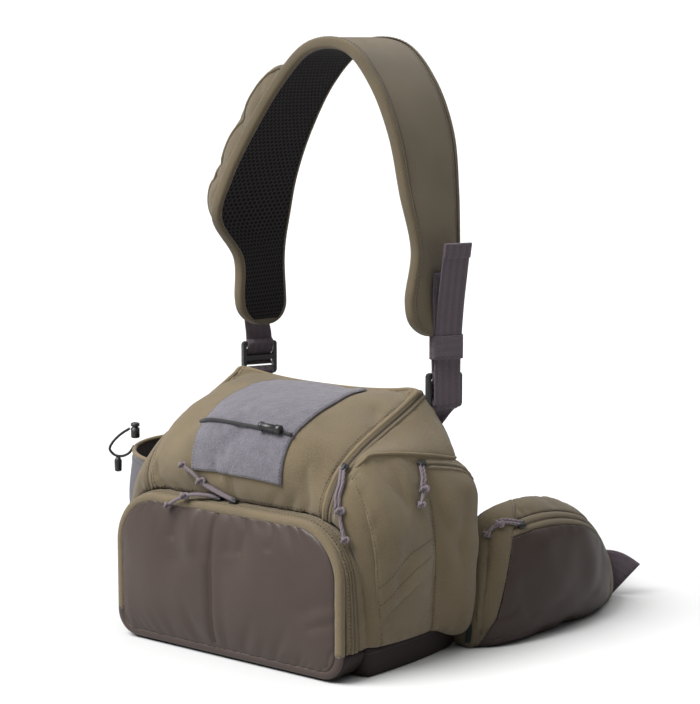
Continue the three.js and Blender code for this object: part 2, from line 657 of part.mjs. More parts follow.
function addRightSide() {
  add('side_sleeve', wall(sleeve, 6, 8), OLIVE);

  // The rear pocket bulges out from the sleeve's seam and turns in again at the back edge
  const { start, end, turn, swell, clearance, droop } = POCKET;
  const pocketOut = (u, v) => {
    const past = max(u - turn, 0) / (1 - turn);
    const round = past > 0 ? cos((PI / 2) * past) ** 0.6 : sin((PI / 2) * (u / turn));
    const power = v < 0.5 ? POCKET_SQUARENESS.low : POCKET_SQUARENESS.high;
    return sleeveLow + clearance + swell * round * (1 - abs(2 * v - 1) ** power);
  };
  const pocket = (u, v) => {
    const place = lerp(start, end, min(u / turn, 1) ** 0.9);
    const hang = droop * smoothstep(u, 0, turn) * (1 - v) ** 2;
    return raised(underHem, pocketOut(u, v))(place, v).sub(vec(0, 0, hang));
  };
  add('side_pocket', wall(pocket, 8, 8), OLIVE);
}

// Hip wings: a pad against the hip and a stuffed pocket outside it
function wingPad(u, v) {
  const row = rowAt(WING, u);
  return vec(row.pad, row.y - row.slant * (1 - v), lerp(row.low, row.high, v));
}

function wingPocket(u, v) {
  const row = rowAt(WING, u);
  const angle = lerp(-PI / 2, PI / 2, v);
  const { waist, lowPower, highPower } = WING_SHAPE;
  const middle = lerp(row.low, row.high, waist);
  const z = angle < 0 ? lerp(middle, row.low, -sin(angle)) : lerp(middle, row.high, sin(angle));
  const out = row.belly * max(cos(angle), 0) ** (angle < 0 ? lowPower : highPower);
  const rise = (z - row.low) / (row.high - row.low);
  return vec(row.pad + GAP + out, row.y - row.slant * (1 - rise), z);
}

function addWings() {
  const { root, bandLow, bandRise, panelTop, zipTop, slit } = WING_SHARES;
  const band = (v) => bandLow + bandRise * v * v;
  const within = (start, end, v0, v1) => (u, v) => {
    const up = lerp(v0, v1, v);
    return wingPocket(lerp(start(up), end(up), u), up);
  };
  const [first, last] = [() => root, () => 1];
  const hands = [['right', (point) => point], ['left', mirrored]];
  for (const [hand, on] of hands) {
    const pocketWall = (start, end, v0, v1, nu, nv) => wall(on(within(start, end, v0, v1)), nu, nv);
    add(`wing_pad_${hand}`, wall(on(wingPad), 10, 4, -WING_SHAPE.padThick, 0), MAUVE);
    add(`wing_band_${hand}`, pocketWall(first, (v) => band(v) - slit, 0, 1, 4, 10), OLIVE);
    add(`wing_panel_${hand}`, pocketWall(band, last, 0, panelTop, 8, 9), DARK_BROWN);
    add(`wing_zip_${hand}`, pocketWall(band, last, panelTop + slit, zipTop, 9, 1), MAUVE);
    add(`wing_top_${hand}`, pocketWall(band, last, zipTop + slit, 1, 9, 3), OLIVE);
    const { x, front, back: rear, height, width } = WING_STAY;
    const out = hand === 'right' ? x : -x;
    const stay = [vec(out, front, height), vec(out, rear, height)];
    add(`wing_stay_${hand}`, webbing(stay, width, 2, UPRIGHT), MAUVE);
  }
}

// Left side: an open stretch pocket with a drawcord at its rim
function bottlePocket(u, v) {
  const { front, back: rear, out, low, frontRim, backRim } = BOTTLE;
  const { share, inner, outer, roundness, clearance } = BOTTLE_FLOOR;
  const angle = PI * u;
  const y = lerp(front, rear, (1 - cos(angle)) / 2);
  const climb = max(v - share, 0) / (1 - share);
  const z = lerp(low, lerp(frontRim, backRim, u), climb);
  const spread = lerp(inner, outer, min(v / share, 1)) + (1 - outer) * smoothstep(climb, 0, 0.12);
  const x = sideX(y, z) + CLOTH + clearance + out * sin(angle) ** roundness * spread;
  return vec(x, y, z);
}

function uprightCylinder({ x, y, z, radius, high }) {
  return new THREE.CylinderGeometry(radius, radius, high, 12).rotateX(PI / 2).translate(x, y, z);
}

function addLeftSide() {
  add('bottle_pocket', wall(mirrored(bottlePocket), 12, 8, 0, STRETCH_CLOTH), GREY);
  const route = DRAWCORD_ROUTE.map(({ x, y, z }) => vec(x, y, z));
  add('drawcord', cord(route, CORD_RADIUS, 16, 8), MAUVE);
  add('drawcord_lock', uprightCylinder(DRAWCORD_LOCK), PLASTIC);
  add('drawcord_end', uprightCylinder(DRAWCORD_END), PLASTIC);
}

// Belt: a lock at each wing tip, webbing round to a closed buckle, and a free tail
function addBelt() {
  const { width, height, back: rear } = BELT;
  const { wide, slot, rim, deep, turn, behind, lift } = BELT_LOCK;
  const tip = WING[WING.length - 1];
  const lockShape = roundRectangle(wide, width + 2 * rim, 2);
  lockShape.holes.push(roundRectangle(slot, width + 2, 1, THREE.Path));
  for (const [name, hand] of [['right', 1], ['left', -1]]) {
    const lock = plate(lockShape, deep).rotateX(PI / 2).rotateZ(hand * turn);
    add(`belt_lock_${name}`, lock.translate(hand * tip.pad, tip.y + behind, height + lift), PLASTIC);
    const route = BELT_ROUTE.map(({ x, y }) => vec(hand * x, y, height));
    add(`belt_web_${name}`, webbing(route, width, 10, UPRIGHT), MAUVE);
  }
  const tailRoute = TAIL_ROUTE.map(({ x, y, z }) => vec(x, y, z));
  const tilted = vec(TAIL_TILT.x, TAIL_TILT.y, TAIL_TILT.z);
  const tailAcross = (t) => UPRIGHT().lerp(tilted, smoothstep(t, 0, 0.7)).normalize();
  add('belt_tail', webbing(tailRoute, width, 6, tailAcross), MAUVE);
  const { half, high, thick, round, lift: buckleLift } = BUCKLE;
  const buckle = plate(roundRectangle(2 * (half - GAP), high, round), thick, 4).rotateX(PI / 2);
  add('belt_buckle', buckle.translate(0, rear, height + buckleLift), PLASTIC);
}

// Shoulder strap: a padded arch with a mesh lining, webbing ends and a pocket on its left shoulder
function strap(u, v) {
  const row = rowAt(STRAP, u);
  return vec(row.x, row.y, row.z).addScaledVector(turnedAcross(row.turn), (2 * v - 1) * row.half);
}

function addStrap() {
  const { thick, edge, squareness, endTaper, steps } = STRAP_SHAPE;
  const padHigh = (u, v) => {
    const fromEnd = min(1, endTaper * min(u, 1 - u));
    return lerp(edge, thick, (1 - abs(2 * v - 1) ** squareness) * Math.sqrt(fromEnd));
  };
  add('strap_pad', between(strap, raised(strap, padHigh), steps, 4), OLIVE);
  const lining = region(strap, 1 / steps, 1 - 1 / steps, STRAP_MESH.inset, 1 - STRAP_MESH.inset);
  const meshLow = -OVERLAY_GAP - STRAP_MESH.thick;
  add('strap_mesh', wall(lining, steps - 2, 2, meshLow, -OVERLAY_GAP), MESH_BLACK);

  const { start, end, inset, swell, squareness: boxiness } = STRAP_POCKET;
  const onPad = raised(strap, (u, v) => padHigh(u, v) + OVERLAY_GAP);
  const patch = region(onPad, start, end, inset, 1 - inset);
  const full = (t) => 1 - abs(2 * t - 1) ** boxiness;
  const pocketSwell = (u, v) => swell * full(u) * full(v);
  add('strap_pocket', wall(raised(patch, pocketSwell), 10, 8), OLIVE);
}

// The ladder lock at each end of the strap, the webbing through it and the tab that anchors it
function addStrapEnds() {
  const { width, turn, padTurn, settleLow, settleHigh } = STRAP_WEB;
  const { width: lockWidth, high: lockHigh, thick, bar, round } = STRAP_LOCK;
  const slot = (lockHigh - 3 * bar) / 2;
  const lockShape = roundRectangle(lockWidth, lockHigh, round);
  for (const end of [-1, 1]) {
    const centre = (end * (slot + bar)) / 2;
    lockShape.holes.push(roundRectangle(width + 1.5, slot, 1, THREE.Path, centre));
  }
  const settled = (t, height) =>
    turnedAcross(lerp(turn, padTurn, smoothstep(height, settleLow, settleHigh)));
  for (const { name, backShare, lock, webRoute } of STRAP_ENDS) {
    const body = plate(lockShape, thick).rotateX(PI / 2).rotateZ(PI / 2 - degToRad(turn));
    add(`strap_lock_${name}`, body.translate(lock.x, lock.y, lock.z), PLASTIC);
    const web = webRoute.map(({ x, y, z }) => vec(x, y, z));
    add(`strap_web_${name}`, webbing(web, width, 8, settled), MAUVE);

    // The anchor tab turns flat against the back panel
    const flat = CLOTH + OVERLAY_GAP + WEBBING / 2;
    const onBack = (v) => raised(back, flat)(backShare, v);
    const start = vec(lock.x - 1, lock.y, lock.z - lockHigh / 2 - ANCHOR.drop);
    const bent = onBack(ANCHOR.high).add(vec(0, ANCHOR.stand, 0));
    const bend = (t) => turnedAcross(lerp(turn, 90, smoothstep(t, 0, ANCHOR.turned)));
    add(`strap_anchor_${name}`, webbing([start, bent, onBack(ANCHOR.low)], width, 8, bend), MAUVE);
  }
  const tail = STRAP_TAIL.map(({ x, y, z }) => vec(x, y, z));
  add('strap_tail', webbing(tail, width, 8, settled), MAUVE);

  const { x, y, z, deep, high, slack } = KEEPER;
  const band = roundRectangle(width + slack + 2 * WEBBING, deep, 1.5);
  band.holes.push(roundRectangle(width + slack, deep - 2 * WEBBING, 0.6, THREE.Path));
  add('strap_keeper', plate(band, high).rotateZ(PI / 2 - degToRad(turn)).translate(x, y, z), MAUVE);
}

// Zip pulls and the small label in the right rear seam
function addTrim() {
  const lift = CLOTH + GAP + SLIDER.high / 2;
  const over = (surface, route) => route.map((row) => raised(surface, row.lift)(row.along, row.up));
  const through = (route) => route.map(({ x, y, z }) => vec(x, y, z));
  const zipMiddle = 1 - zipShare(LID_SLIDER) / 2;
  const zipOut = normalAt(side, LID_SLIDER, zipMiddle);
  const zipPlace = raised(side, lift)(LID_SLIDER, zipMiddle);
  const zipAhead = side(LID_SLIDER + 0.02, 1).sub(side(LID_SLIDER - 0.02, 1));
  add('lid_pull', pull(zipPlace, zipOut, zipAhead, through(LID_PULL)), MAUVE);

  const zipTop = FRONT.high + lift;
  for (const { name, x, route } of FRONT_PULLS) {
    add(name, pull(vec(x, FRONT_PULL_Y, zipTop), vec(0, 0, 1), vec(1, 0, 0), through(route)), MAUVE);
  }

  const [hemPlace] = through([SIDE_SLIDER]);
  const hemOut = normalAt(side, POCKET.start, hemShare(POCKET.start));
  add('side_pull', pull(hemPlace, hemOut, vec(0, 1, 0), through(SIDE_PULL)), MAUVE);

  const { along, up } = WING_SLIDER;
  for (const [name, hand] of [['right', 1], ['left', -1]]) {
    const flip = vec(hand, 1, 1);
    const place = raised(wingPocket, lift)(along, up).multiply(flip);
    const outward = normalAt(wingPocket, along, up).multiply(flip);
    const route = over(wingPocket, WING_PULL).map((p) => p.multiply(flip));
    add(`wing_pull_${name}`, pull(place, outward, vec(0, 1, 0), route), MAUVE);
  }

  const { start, end, low, high, thick } = LABEL;
  const labelLow = CLOTH + OVERLAY_GAP;
  const labelArea = region(wingPocket, start, end, low, high);
  add('label_tab', wall(labelArea, 2, 3, labelLow, labelLow + thick), GREEN);
}

addMainBody();
addFrontPocket();
addRightSide();
addLeftSide();
addWings();
addBelt();
addStrap();
addStrapEnds();
addTrim();

export default pack;
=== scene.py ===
"""The looks of a soft hip pack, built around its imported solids. Shapes are worked out in millimetres."""

import math

import bpy
import numpy as np
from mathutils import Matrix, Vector


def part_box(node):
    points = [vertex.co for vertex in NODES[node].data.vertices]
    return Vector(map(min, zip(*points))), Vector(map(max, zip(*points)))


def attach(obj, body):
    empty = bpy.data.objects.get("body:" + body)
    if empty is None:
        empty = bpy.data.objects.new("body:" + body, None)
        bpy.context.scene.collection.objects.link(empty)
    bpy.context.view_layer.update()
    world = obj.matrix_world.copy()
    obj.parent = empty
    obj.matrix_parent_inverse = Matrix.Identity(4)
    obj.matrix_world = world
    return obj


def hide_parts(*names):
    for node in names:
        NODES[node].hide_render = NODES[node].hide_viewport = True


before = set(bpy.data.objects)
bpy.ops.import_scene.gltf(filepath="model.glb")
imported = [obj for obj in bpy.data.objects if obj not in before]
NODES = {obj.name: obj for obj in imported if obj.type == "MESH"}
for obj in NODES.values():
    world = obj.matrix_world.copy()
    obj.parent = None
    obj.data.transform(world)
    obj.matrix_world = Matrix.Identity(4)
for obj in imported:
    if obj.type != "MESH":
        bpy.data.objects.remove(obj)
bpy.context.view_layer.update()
MM = 0.001

# Cloth, webbing and clearances, as in the solids
CLOTH, STRETCH_CLOTH, PATCH_CLOTH, WEBBING = 2.2, 1.6, 1.8, 1.8
GAP, OVERLAY_GAP = 0.4, 0.9
ZIP_WIDTH = 8.0
CORD_RADIUS = 1.5

# The photograph's camera
CAMERA = {"place": (1.1336, -1.3415, 0.5087), "azimuth": 38.354, "pitch": 8.4, "lens": 107.63, "sensor": 36}

# Studio: how bright the dome is at some heights, and lamps with direction, strength and spread in degrees
DOME = [(0.0, 0.76), (0.06, 0.76), (0.15, 0.06), (0.55, 0.07), (0.85, 1.0)]
DOME_STRENGTH = 1.4
FLOOR = {"half": 30, "tone": 0.48}
LAMPS = [("key", (-0.5, -1.0, 1.4), 6.1, 40), ("rear", (-0.3, 1.6, 1.6), 0.8, 60)]

# Main body
BASE = {"half": 123, "front": -47, "back": 72, "height": 24, "bulge": 7, "edge": 4}
FULL_BASE = {"half": 126, "back": 76, "bow": 4, "corner": 5}
FRONT = {"half": 123, "low": 3.3, "high": 129, "top_round": 46, "low_round": 20, "face": -75, "swell": 7}
FRONT_SEAM = (-47, -59)
FRONT_INSET = 5.8
# The band round the front panel, from the gusset over the edge to the panel: inset, depth
BAND_PROFILE = [(0.2, 5.0), (-1.1, 2.2), (-0.8, -0.6), (1.0, -2.0), (3.2, -2.4), (5.2, -2.0), (6.8, -0.6)]
LID_CORNER_X = 93
LID_FULLNESS = 2.6
LID_EDGE_LEAN = 0.4
SIDE_HEIGHT = (118, 205)
SIDE_SWELL, BACK_SWELL = 5, 6

# Lid from front to back: edge x, edge y, edge z, middle y, middle z
LID_ROWS = [
    (93, -59, 129, -60, 132),
    (95, -61, 141, -66, 152),
    (96, -55, 156, -65, 173),
    (96, -40, 171, -55, 190),
    (96, -17, 184, -33, 202),
    (97, 10, 196, -5, 208),
    (98, 38, 208, 27, 212),
    (98, 61, 219, 60, 212),
]
# Seam between side and back from the base up: x, y, z
BACK_ROWS = [
    (123, 72, 24),
    (126, 73.5, 63),
    (127, 74, 102),
    (126.5, 73.5, 141),
    (119, 70.5, 180),
    (98, 61, 219),
]
# Soft hollows and ridges of a panel: from u, v to u, v, then width and depth
FRONT_FOLDS = [
    (0.26, 0.95, 0.31, 0.62, 0.06, -3),
    (0.42, 0.97, 0.43, 0.7, 0.05, -2),
    (0.62, 0.97, 0.58, 0.66, 0.06, -2.5),
    (0.97, 0.5, 0.9, 0.42, 0.06, -2.5),
    (0.5, 0.05, 0.5, 0.95, 0.05, -1.5),
    (0.24, 1.0, 0.27, 0.78, 0.03, -2.2),
    (0.33, 1.0, 0.36, 0.72, 0.026, 1.6),
    (0.455, 1.0, 0.46, 0.04, 0.012, -3.6),
    (0.55, 1.0, 0.54, 0.74, 0.03, -2.2),
    (0.64, 1.0, 0.6, 0.76, 0.03, -2.4),
    (0.8, 1.0, 0.74, 0.82, 0.026, -1.8),
    (0.99, 0.36, 0.91, 0.31, 0.024, -2.6),
    (0.99, 0.44, 0.93, 0.4, 0.022, 1.6),
]
LID_FOLDS = [
    (0.02, 0.3, 0.22, 0.42, 0.07, -3),
    (0.09, 0.45, 0.09, 0.8, 0.07, 5),
    (0.86, 0.16, 0.98, 0.34, 0.07, -2.5),
    (0.35, 0.88, 0.65, 0.88, 0.08, -2.5),
]
SLEEVE_FOLDS = [
    (0.5, 1.0, 0.62, 0.76, 0.09, -3.2),
    (0.8, 0.98, 0.72, 0.8, 0.07, 1.6),
    (0.2, 0.9, 0.34, 0.55, 0.08, 1.4),
    (0.75, 0.62, 0.35, 0.42, 0.09, -1.8),
    (0.3, 0.3, 0.75, 0.12, 0.08, -1.2),
]
POCKET_FOLDS = [
    (0.05, 0.72, 0.3, 0.5, 0.07, -2.2),
    (0.12, 0.9, 0.22, 0.62, 0.06, 1.6),
    (0.4, 0.88, 0.36, 0.4, 0.08, -1.6),
    (0.1, 0.2, 0.4, 0.12, 0.08, -1.8),
]
BAND_FOLDS = [
    (0.5, 0.9, 0.36, 0.5, 0.04, 2.2),
    (0.6, 0.9, 0.46, 0.5, 0.04, -2.0),
    (0.5, 0.45, 0.8, 0.25, 0.06, -1.4),
]
WING_FOLDS = [
    (0.06, 0.9, 0.3, 0.55, 0.06, -3.0),
    (0.2, 0.98, 0.42, 0.7, 0.05, 2.2),
    (0.9, 0.9, 0.7, 0.6, 0.06, -2.8),
    (0.3, 0.3, 0.75, 0.22, 0.07, -2.4),
]
FLAP = {"lift": 6.4, "start": 0.4, "end": 0.9, "rise": 3.0, "drop": 0.012, "ledge": 0.004, "fade": 0.06}
# The flap's rolled hem: radius, depth in the cloth, first and last column of the cloth's grid
FLAP_ROLL = {"radius": 1.4, "sunk": 0.6, "columns": (13, -4)}
SLANT = {"front": 0.2, "back": 0.39, "split": 0.4, "ledge": (0.002, 0.004), "lift": 2.6, "fade": (0.5, 0.92)}
# The rows of the sleeve's grid along which its hem is stitched
SLANT_STITCHES = (29, 33)
LID_ROLL = {"out": 1.0, "radius": 2.3, "edge": 0.9995, "start": 0.998}
POCKET_ZIP = {"along": (0.03, 0.9), "across": (0.905, 0.955), "sunk": 1.4}
PATCH_AREA = (4 / 14, 11 / 14, 2 / 12, 11 / 12)
# The cord on the patch, as shares of the patch's height and width
TIPPET = {"row": 0.42, "line": (0.04, 0.3, 0.6, 0.96), "barrel": (0.62, 0.8)}
# The hem of the pockets: its heights, and the shares of the side where it ends and where the cloth starts
HEM = {"heights": (176, 162), "top": 0.985, "foot": 0.004}
SLEEVE = {"start_low": 0.115, "start_high": 0.3, "slope": 2.2, "end": 0.62, "swell": 3}
POCKET = {"start": 0.63, "end": 0.965, "turn": 0.66, "swell": 16, "clearance": 0.3, "droop": 11}
POCKET_SQUARENESS, POCKET_TAPER = (12, 5), 0.1
BOTTLE = {"front": -10, "back": 70, "out": 58, "low": 9, "rims": (139, 154), "floor": 0.2, "fullness": 0.75}
# How far the bottle pocket's floor and foot reach out, as shares, and the height of its rounded foot
BOTTLE_FOOT = {"spread": (0.1, 0.94), "flare": 0.06, "height": 0.12}

# Hip wing from root to tip: y, slant, pad x, belly, low, high
WING_ROWS = [
    (77.4, 0, 122, 22, 3, 60),
    (106, 12, 127, 34, 3, 103),
    (141, 22, 133, 36, 3, 113),
    (178, 10, 137, 37, 3, 112),
    (218, 3, 138, 36, 3, 100),
    (252, 0, 134, 32, 3, 79),
    (285, 0, 129, 23, 3.4, 51),
]
WING = {"waist": 0.25, "low_power": 0.14, "high_power": 0.8, "pad": 8, "root": 0.006, "band_lift": 0.9}
WING_TURN = {"root": 0.2, "tip": 0.5}
WING_EDGES = {"band_low": 0.045, "band_rise": 0.32, "panel": 0.77, "zip": 0.845, "tip": 0.89}
WING_STAY = {"x": 124.5, "front": 77, "back": 95, "height": 101, "width": 20}

# Shoulder strap from its left end to its right end: x, y, z, half width, turn in degrees
STRAP_ROWS = [
    (-86, 77, 258, 23, 14),
    (-88, 76, 284, 29, 4),
    (-89, 76, 320, 31, 0),
    (-89, 66, 356, 49, 0),
    (-80, 68, 392, 47, 0),
    (-62, 72, 432, 42, 0),
    (-35, 75, 474, 38, 0),
    (-2, 75, 502, 38, 0),
    (39, 75, 502, 41, 0),
    (68, 75, 473, 42, 0),
    (87, 75, 431, 41, 0),
    (96, 74, 384, 37, 0),
    (101, 76, 338, 30, 0),
    (100, 74, 296, 32, 4),
    (104, 76, 264, 25, 14),
]


def mix(a, b, t):
    return a + (b - a) * t


def smoothstep(x, low, high):
    t = np.clip((x - low) / (high - low), 0, 1)
    return t * t * (3 - 2 * t)


def point3(x, y, z):
    return np.stack(np.broadcast_arrays(x, y, z), -1).astype(float)


def unit(a):
    return a / np.maximum(np.linalg.norm(a, axis=-1, keepdims=True), 1e-12)


def reach(points):
    """The distance along axis 0 of a line, or the mean distance along a grid, from its start."""
    steps = np.linalg.norm(np.diff(points, axis=0), axis=-1)
    return np.concatenate([[0], np.cumsum(steps if steps.ndim == 1 else steps.mean(1))])


def at_distance(wanted, along, values):
    """Values given along a line, read at some distances."""
    return np.stack([np.interp(wanted, along, column) for column in values.T], -1)


def rows(table, t):
    """The columns of a table at t, from 0 at its first row to 1 at its last, on a smooth curve."""
    table = np.asarray(table, float)
    last = len(table) - 1
    place = np.clip(np.asarray(t, float), 0, 1) * last
    i = np.minimum(place.astype(int), last - 1)
    f = (place - i)[..., None]
    a, b, c, d = (table[np.clip(i + k, 0, last)] for k in (-1, 0, 1, 2))
    return b + 0.5 * f * (c - a + f * (2 * a - 5 * b + 4 * c - d + f * (3 * b - a - 3 * c + d)))


def columns(table, t):
    return np.moveaxis(rows(table, t), -1, 0)


def normal(surface, u, v):
    step = 1e-3
    du = surface(np.minimum(u + step, 1), v) - surface(np.maximum(u - step, 0), v)
    dv = surface(u, np.minimum(v + step, 1)) - surface(u, np.maximum(v - step, 0))
    return unit(np.cross(du, dv))


def raised(surface, height):
    """A surface moved outwards by height(u, v)."""
    return lambda u, v: surface(u, v) + normal(surface, u, v) * np.asarray(height(u, v))[..., None]


def region(surface, u0, u1, v0, v1):
    return lambda u, v: surface(mix(u0, u1, u), mix(v0, v1, v))


def relief(folds, u, v):
    """How far the folds of a panel raise it at (u, v); they fade towards its edges."""
    height = np.zeros(np.broadcast(u, v).shape)
    for u0, v0, u1, v1, width, depth in folds:
        du, dv = u1 - u0, v1 - v0
        t = np.clip(((u - u0) * du + (v - v0) * dv) / (du * du + dv * dv), 0, 1)
        away = np.hypot(u - u0 - t * du, v - v0 - t * dv) / width
        height = height + depth * np.exp(-away * away)
    fade = np.sin(np.pi * np.clip(u, 0, 1)) * np.sin(np.pi * np.clip(v, 0, 1))
    return height * np.clip(fade, 0, 1) ** 0.3


def with_folds(surface, folds):
    return raised(surface, lambda u, v: relief(folds, u, v))


def stretched(bottom, top, left, right, swell):
    """A surface through four edges that share their corners, swollen in its middle."""

    def flat(u, v):
        u, v = np.broadcast_arrays(np.asarray(u, float), np.asarray(v, float))
        s, t = u[..., None], v[..., None]
        zero, one = np.zeros_like(u), np.ones_like(u)
        low = mix(bottom(zero), bottom(one), s)
        high = mix(top(zero), top(one), s)
        return mix(bottom(u), top(u), t) + mix(left(v), right(v), s) - mix(low, high, t)

    return raised(flat, lambda u, v: swell * np.sin(np.pi * u) * np.sin(np.pi * v))


def outline_points():
    """The front pocket's outline, counter-clockwise from the middle of its bottom, as close points."""
    half, low, high = FRONT["half"], FRONT["low"], FRONT["high"]
    top, foot = FRONT["top_round"], FRONT["low_round"]
    arcs = [
        (half - foot, low + foot, foot, -90),
        (half - top, high - top, top, 0),
        (top - half, high - top, top, 90),
        (foot - half, low + foot, foot, 180),
    ]
    line = [(0.0, low)]
    for x, z, radius, start in arcs:
        for angle in np.radians(np.linspace(start, start + 90, 91)):
            line.append((x + radius * math.cos(angle), z + radius * math.sin(angle)))
    line.append((0.0, low))
    return np.array(line)


OUTLINE = outline_points()
OUTLINE_REACH = reach(OUTLINE)
OUTLINE_LENGTH = OUTLINE_REACH[-1]


def outline(share):
    """x and z of the front outline at a share of its length."""
    place = np.mod(share, 1) * OUTLINE_LENGTH
    return tuple(np.interp(place, OUTLINE_REACH, column) for column in OUTLINE.T)


def seam_y(z):
    return mix(*FRONT_SEAM, smoothstep(z, BASE["height"], FRONT["high"]))


LOWER_STRETCH = FRONT["half"] - FRONT["low_round"] + FRONT["low_round"] * math.pi / 2
STRAIGHT = FRONT["high"] - FRONT["top_round"] - FRONT["low"] - FRONT["low_round"]
LID_ANGLE = math.acos((LID_CORNER_X - FRONT["half"] + FRONT["top_round"]) / FRONT["top_round"])
RIM_SHARE = (LOWER_STRETCH + BASE["height"] - FRONT["low"] - FRONT["low_round"]) / OUTLINE_LENGTH
CORNER_SHARE = (LOWER_STRETCH + STRAIGHT + FRONT["top_round"] * LID_ANGLE) / OUTLINE_LENGTH


def front_half_width(z, inset):
    half, low, high = FRONT["half"], FRONT["low"], FRONT["high"]
    top, foot = FRONT["top_round"], FRONT["low_round"]
    rise, drop = z - (high - top), low + foot - z
    radius = np.where(rise > 0, top, foot)
    room = (radius - inset) ** 2 - np.maximum(np.maximum(rise, drop), 0) ** 2
    rounded = half - radius + np.sqrt(np.maximum(room, 0))
    return np.where((rise <= 0) & (drop <= 0), half - inset, rounded)


def front_surface(inset, low, depth):
    def surface(u, v):
        share = (1 - np.cos(np.pi * v)) / 2
        z = mix(low, FRONT["high"] - inset, share)
        return point3((2 * u - 1) * front_half_width(z, inset), depth(u, share, z), z)

    return surface


def lid(u, v):
    aside = 2 * u - 1
    edge_x, edge_y, edge_z, mid_y, mid_z = columns(LID_ROWS, v)
    full = 1 - np.abs(aside) ** LID_FULLNESS
    into = np.maximum(np.abs(aside) * LID_CORNER_X - FRONT["half"] + FRONT["top_round"], 0)
    outline_z = FRONT["high"] - FRONT["top_round"] + np.sqrt(FRONT["top_round"] ** 2 - into**2)
    lift = outline_z + CLOTH + OVERLAY_GAP - mix(LID_ROWS[0][2], LID_ROWS[0][4], full)
    z = mix(edge_z, mid_z, full) + lift * (1 - v) ** 6
    return point3(aside * edge_x, mix(edge_y, mid_y, full), z)


def lid_edge(t):
    return lid(np.ones_like(t), t + LID_EDGE_LEAN * t * (1 - t))


def back_edge(t):
    return rows(BACK_ROWS, t)


def side_bottom(t):
    y = mix(BASE["front"], BASE["back"], t)
    return point3(BASE["half"] + BASE["bulge"] * np.sin(np.pi * t), y, BASE["height"] + GAP)


def side_front(t):
    x, z = outline(mix(RIM_SHARE, CORNER_SHARE, t))
    lift = (lid_edge(np.zeros_like(t))[..., 2] - z) * t**4
    return point3(x, seam_y(z), z + GAP * (1 - t) + lift)


MIRROR = np.array([-1.0, 1.0, 1.0])
side = stretched(side_bottom, lid_edge, side_front, back_edge, SIDE_SWELL)
back = stretched(
    lambda t: back_edge(0 * t) * point3(1 - 2 * t, 1, 1),
    lambda t: lid(1 - t, np.ones_like(t)),
    back_edge,
    lambda t: back_edge(t) * MIRROR,
    BACK_SWELL,
)


def zip_share(u):
    return ZIP_WIDTH / mix(*SIDE_HEIGHT, u)


def side_x(y, z):
    """How far out the right side is at (y, z)."""
    u = np.full(np.broadcast(y, z).shape, 0.5)
    v = u.copy()
    for _ in range(8):
        p = side(u, v)
        u = np.clip(u + (y - p[..., 1]) / (BASE["back"] - BASE["front"]), 0, 1)
        v = np.clip(v + (z - p[..., 2]) / (FRONT["high"] + FRONT["top_round"]), 0, 1)
    return side(u, v)[..., 0]


def hem_share(u):
    top = side(u, np.ones_like(u))[..., 2]
    share = (mix(*HEM["heights"], u) - BASE["height"]) / (top - BASE["height"])
    return np.minimum(share, HEM["top"] - zip_share(u))


def under_hem(u, v):
    return side(u, mix(HEM["foot"], hem_share(u), v))


OVERLAY = CLOTH + OVERLAY_GAP


def sleeve_swell(u, v):
    return OVERLAY + SLEEVE["swell"] * (np.sin(np.pi * u) * np.sin(np.pi * v)).clip(0) ** 0.7


def sleeve_start(v):
    return mix(SLEEVE["start_low"], SLEEVE["start_high"], v ** SLEEVE["slope"])


sleeve = raised(lambda u, v: under_hem(mix(sleeve_start(v), SLEEVE["end"], u), v), sleeve_swell)


def side_pocket(u, v):
    turn = POCKET["turn"]
    past = np.clip((u - turn) / (1 - turn), 0, 1)
    rising = np.sin(np.pi / 2 * np.minimum(u / turn, 1))
    bulge = np.where(past > 0, np.cos(np.pi / 2 * past).clip(0) ** 0.6, rising)
    power = np.where(v < 0.5, *POCKET_SQUARENESS)
    out = OVERLAY + POCKET["clearance"] + POCKET["swell"] * bulge * (1 - np.abs(2 * v - 1) ** power)
    place = mix(POCKET["start"], POCKET["end"], np.minimum(u / turn, 1) ** 0.9)
    hang = POCKET["droop"] * smoothstep(u, 0, turn) * (1 - v) ** 2
    return under_hem(place, v) + normal(under_hem, place, v) * out[..., None] - point3(0, 0, hang)


def bottle_pocket(u, v):
    angle = np.pi * u
    y = mix(BOTTLE["front"], BOTTLE["back"], (1 - np.cos(angle)) / 2)
    floor = BOTTLE["floor"]
    climb = np.maximum(v - floor, 0) / (1 - floor)
    z = mix(BOTTLE["low"], mix(*BOTTLE["rims"], u), climb)
    spread = mix(*BOTTLE_FOOT["spread"], np.minimum(v / floor, 1))
    spread = spread + BOTTLE_FOOT["flare"] * smoothstep(climb, 0, BOTTLE_FOOT["height"])
    out = BOTTLE["out"] * np.sin(angle).clip(0) ** BOTTLE["fullness"] * spread
    return point3(side_x(y, z) + CLOTH + GAP + out, y, z)


def wing_pad(u, v):
    y, slant, pad, _, low, high = columns(WING_ROWS, u)
    return point3(pad, y - slant * (1 - v), mix(low, high, v))


def wing_pocket(u, v):
    y, slant, pad, belly, low, high = columns(WING_ROWS, u)
    angle = mix(-np.pi / 2, np.pi / 2, v)
    middle = mix(low, high, WING["waist"])
    z = np.where(angle < 0, mix(middle, low, -np.sin(angle)), mix(middle, high, np.sin(angle)))
    power = np.where(angle < 0, WING["low_power"], WING["high_power"])
    out = belly * np.cos(angle).clip(0) ** power
    rise = (z - low) / (high - low)
    return point3(pad + GAP + out, y - slant * (1 - rise), z)


def band_edge(v):
    """Where a wing's band ends, as a share of the wing's length, at a share of its height."""
    return WING_EDGES["band_low"] + WING_EDGES["band_rise"] * v * v


def wing_part(start, end, v0, v1):
    """A part of a wing between two edges, each given at a share of the wing's height."""

    def surface(u, v):
        up = mix(v0, v1, v)
        return wing_pocket(mix(start(up), end(up), u), up)

    return surface


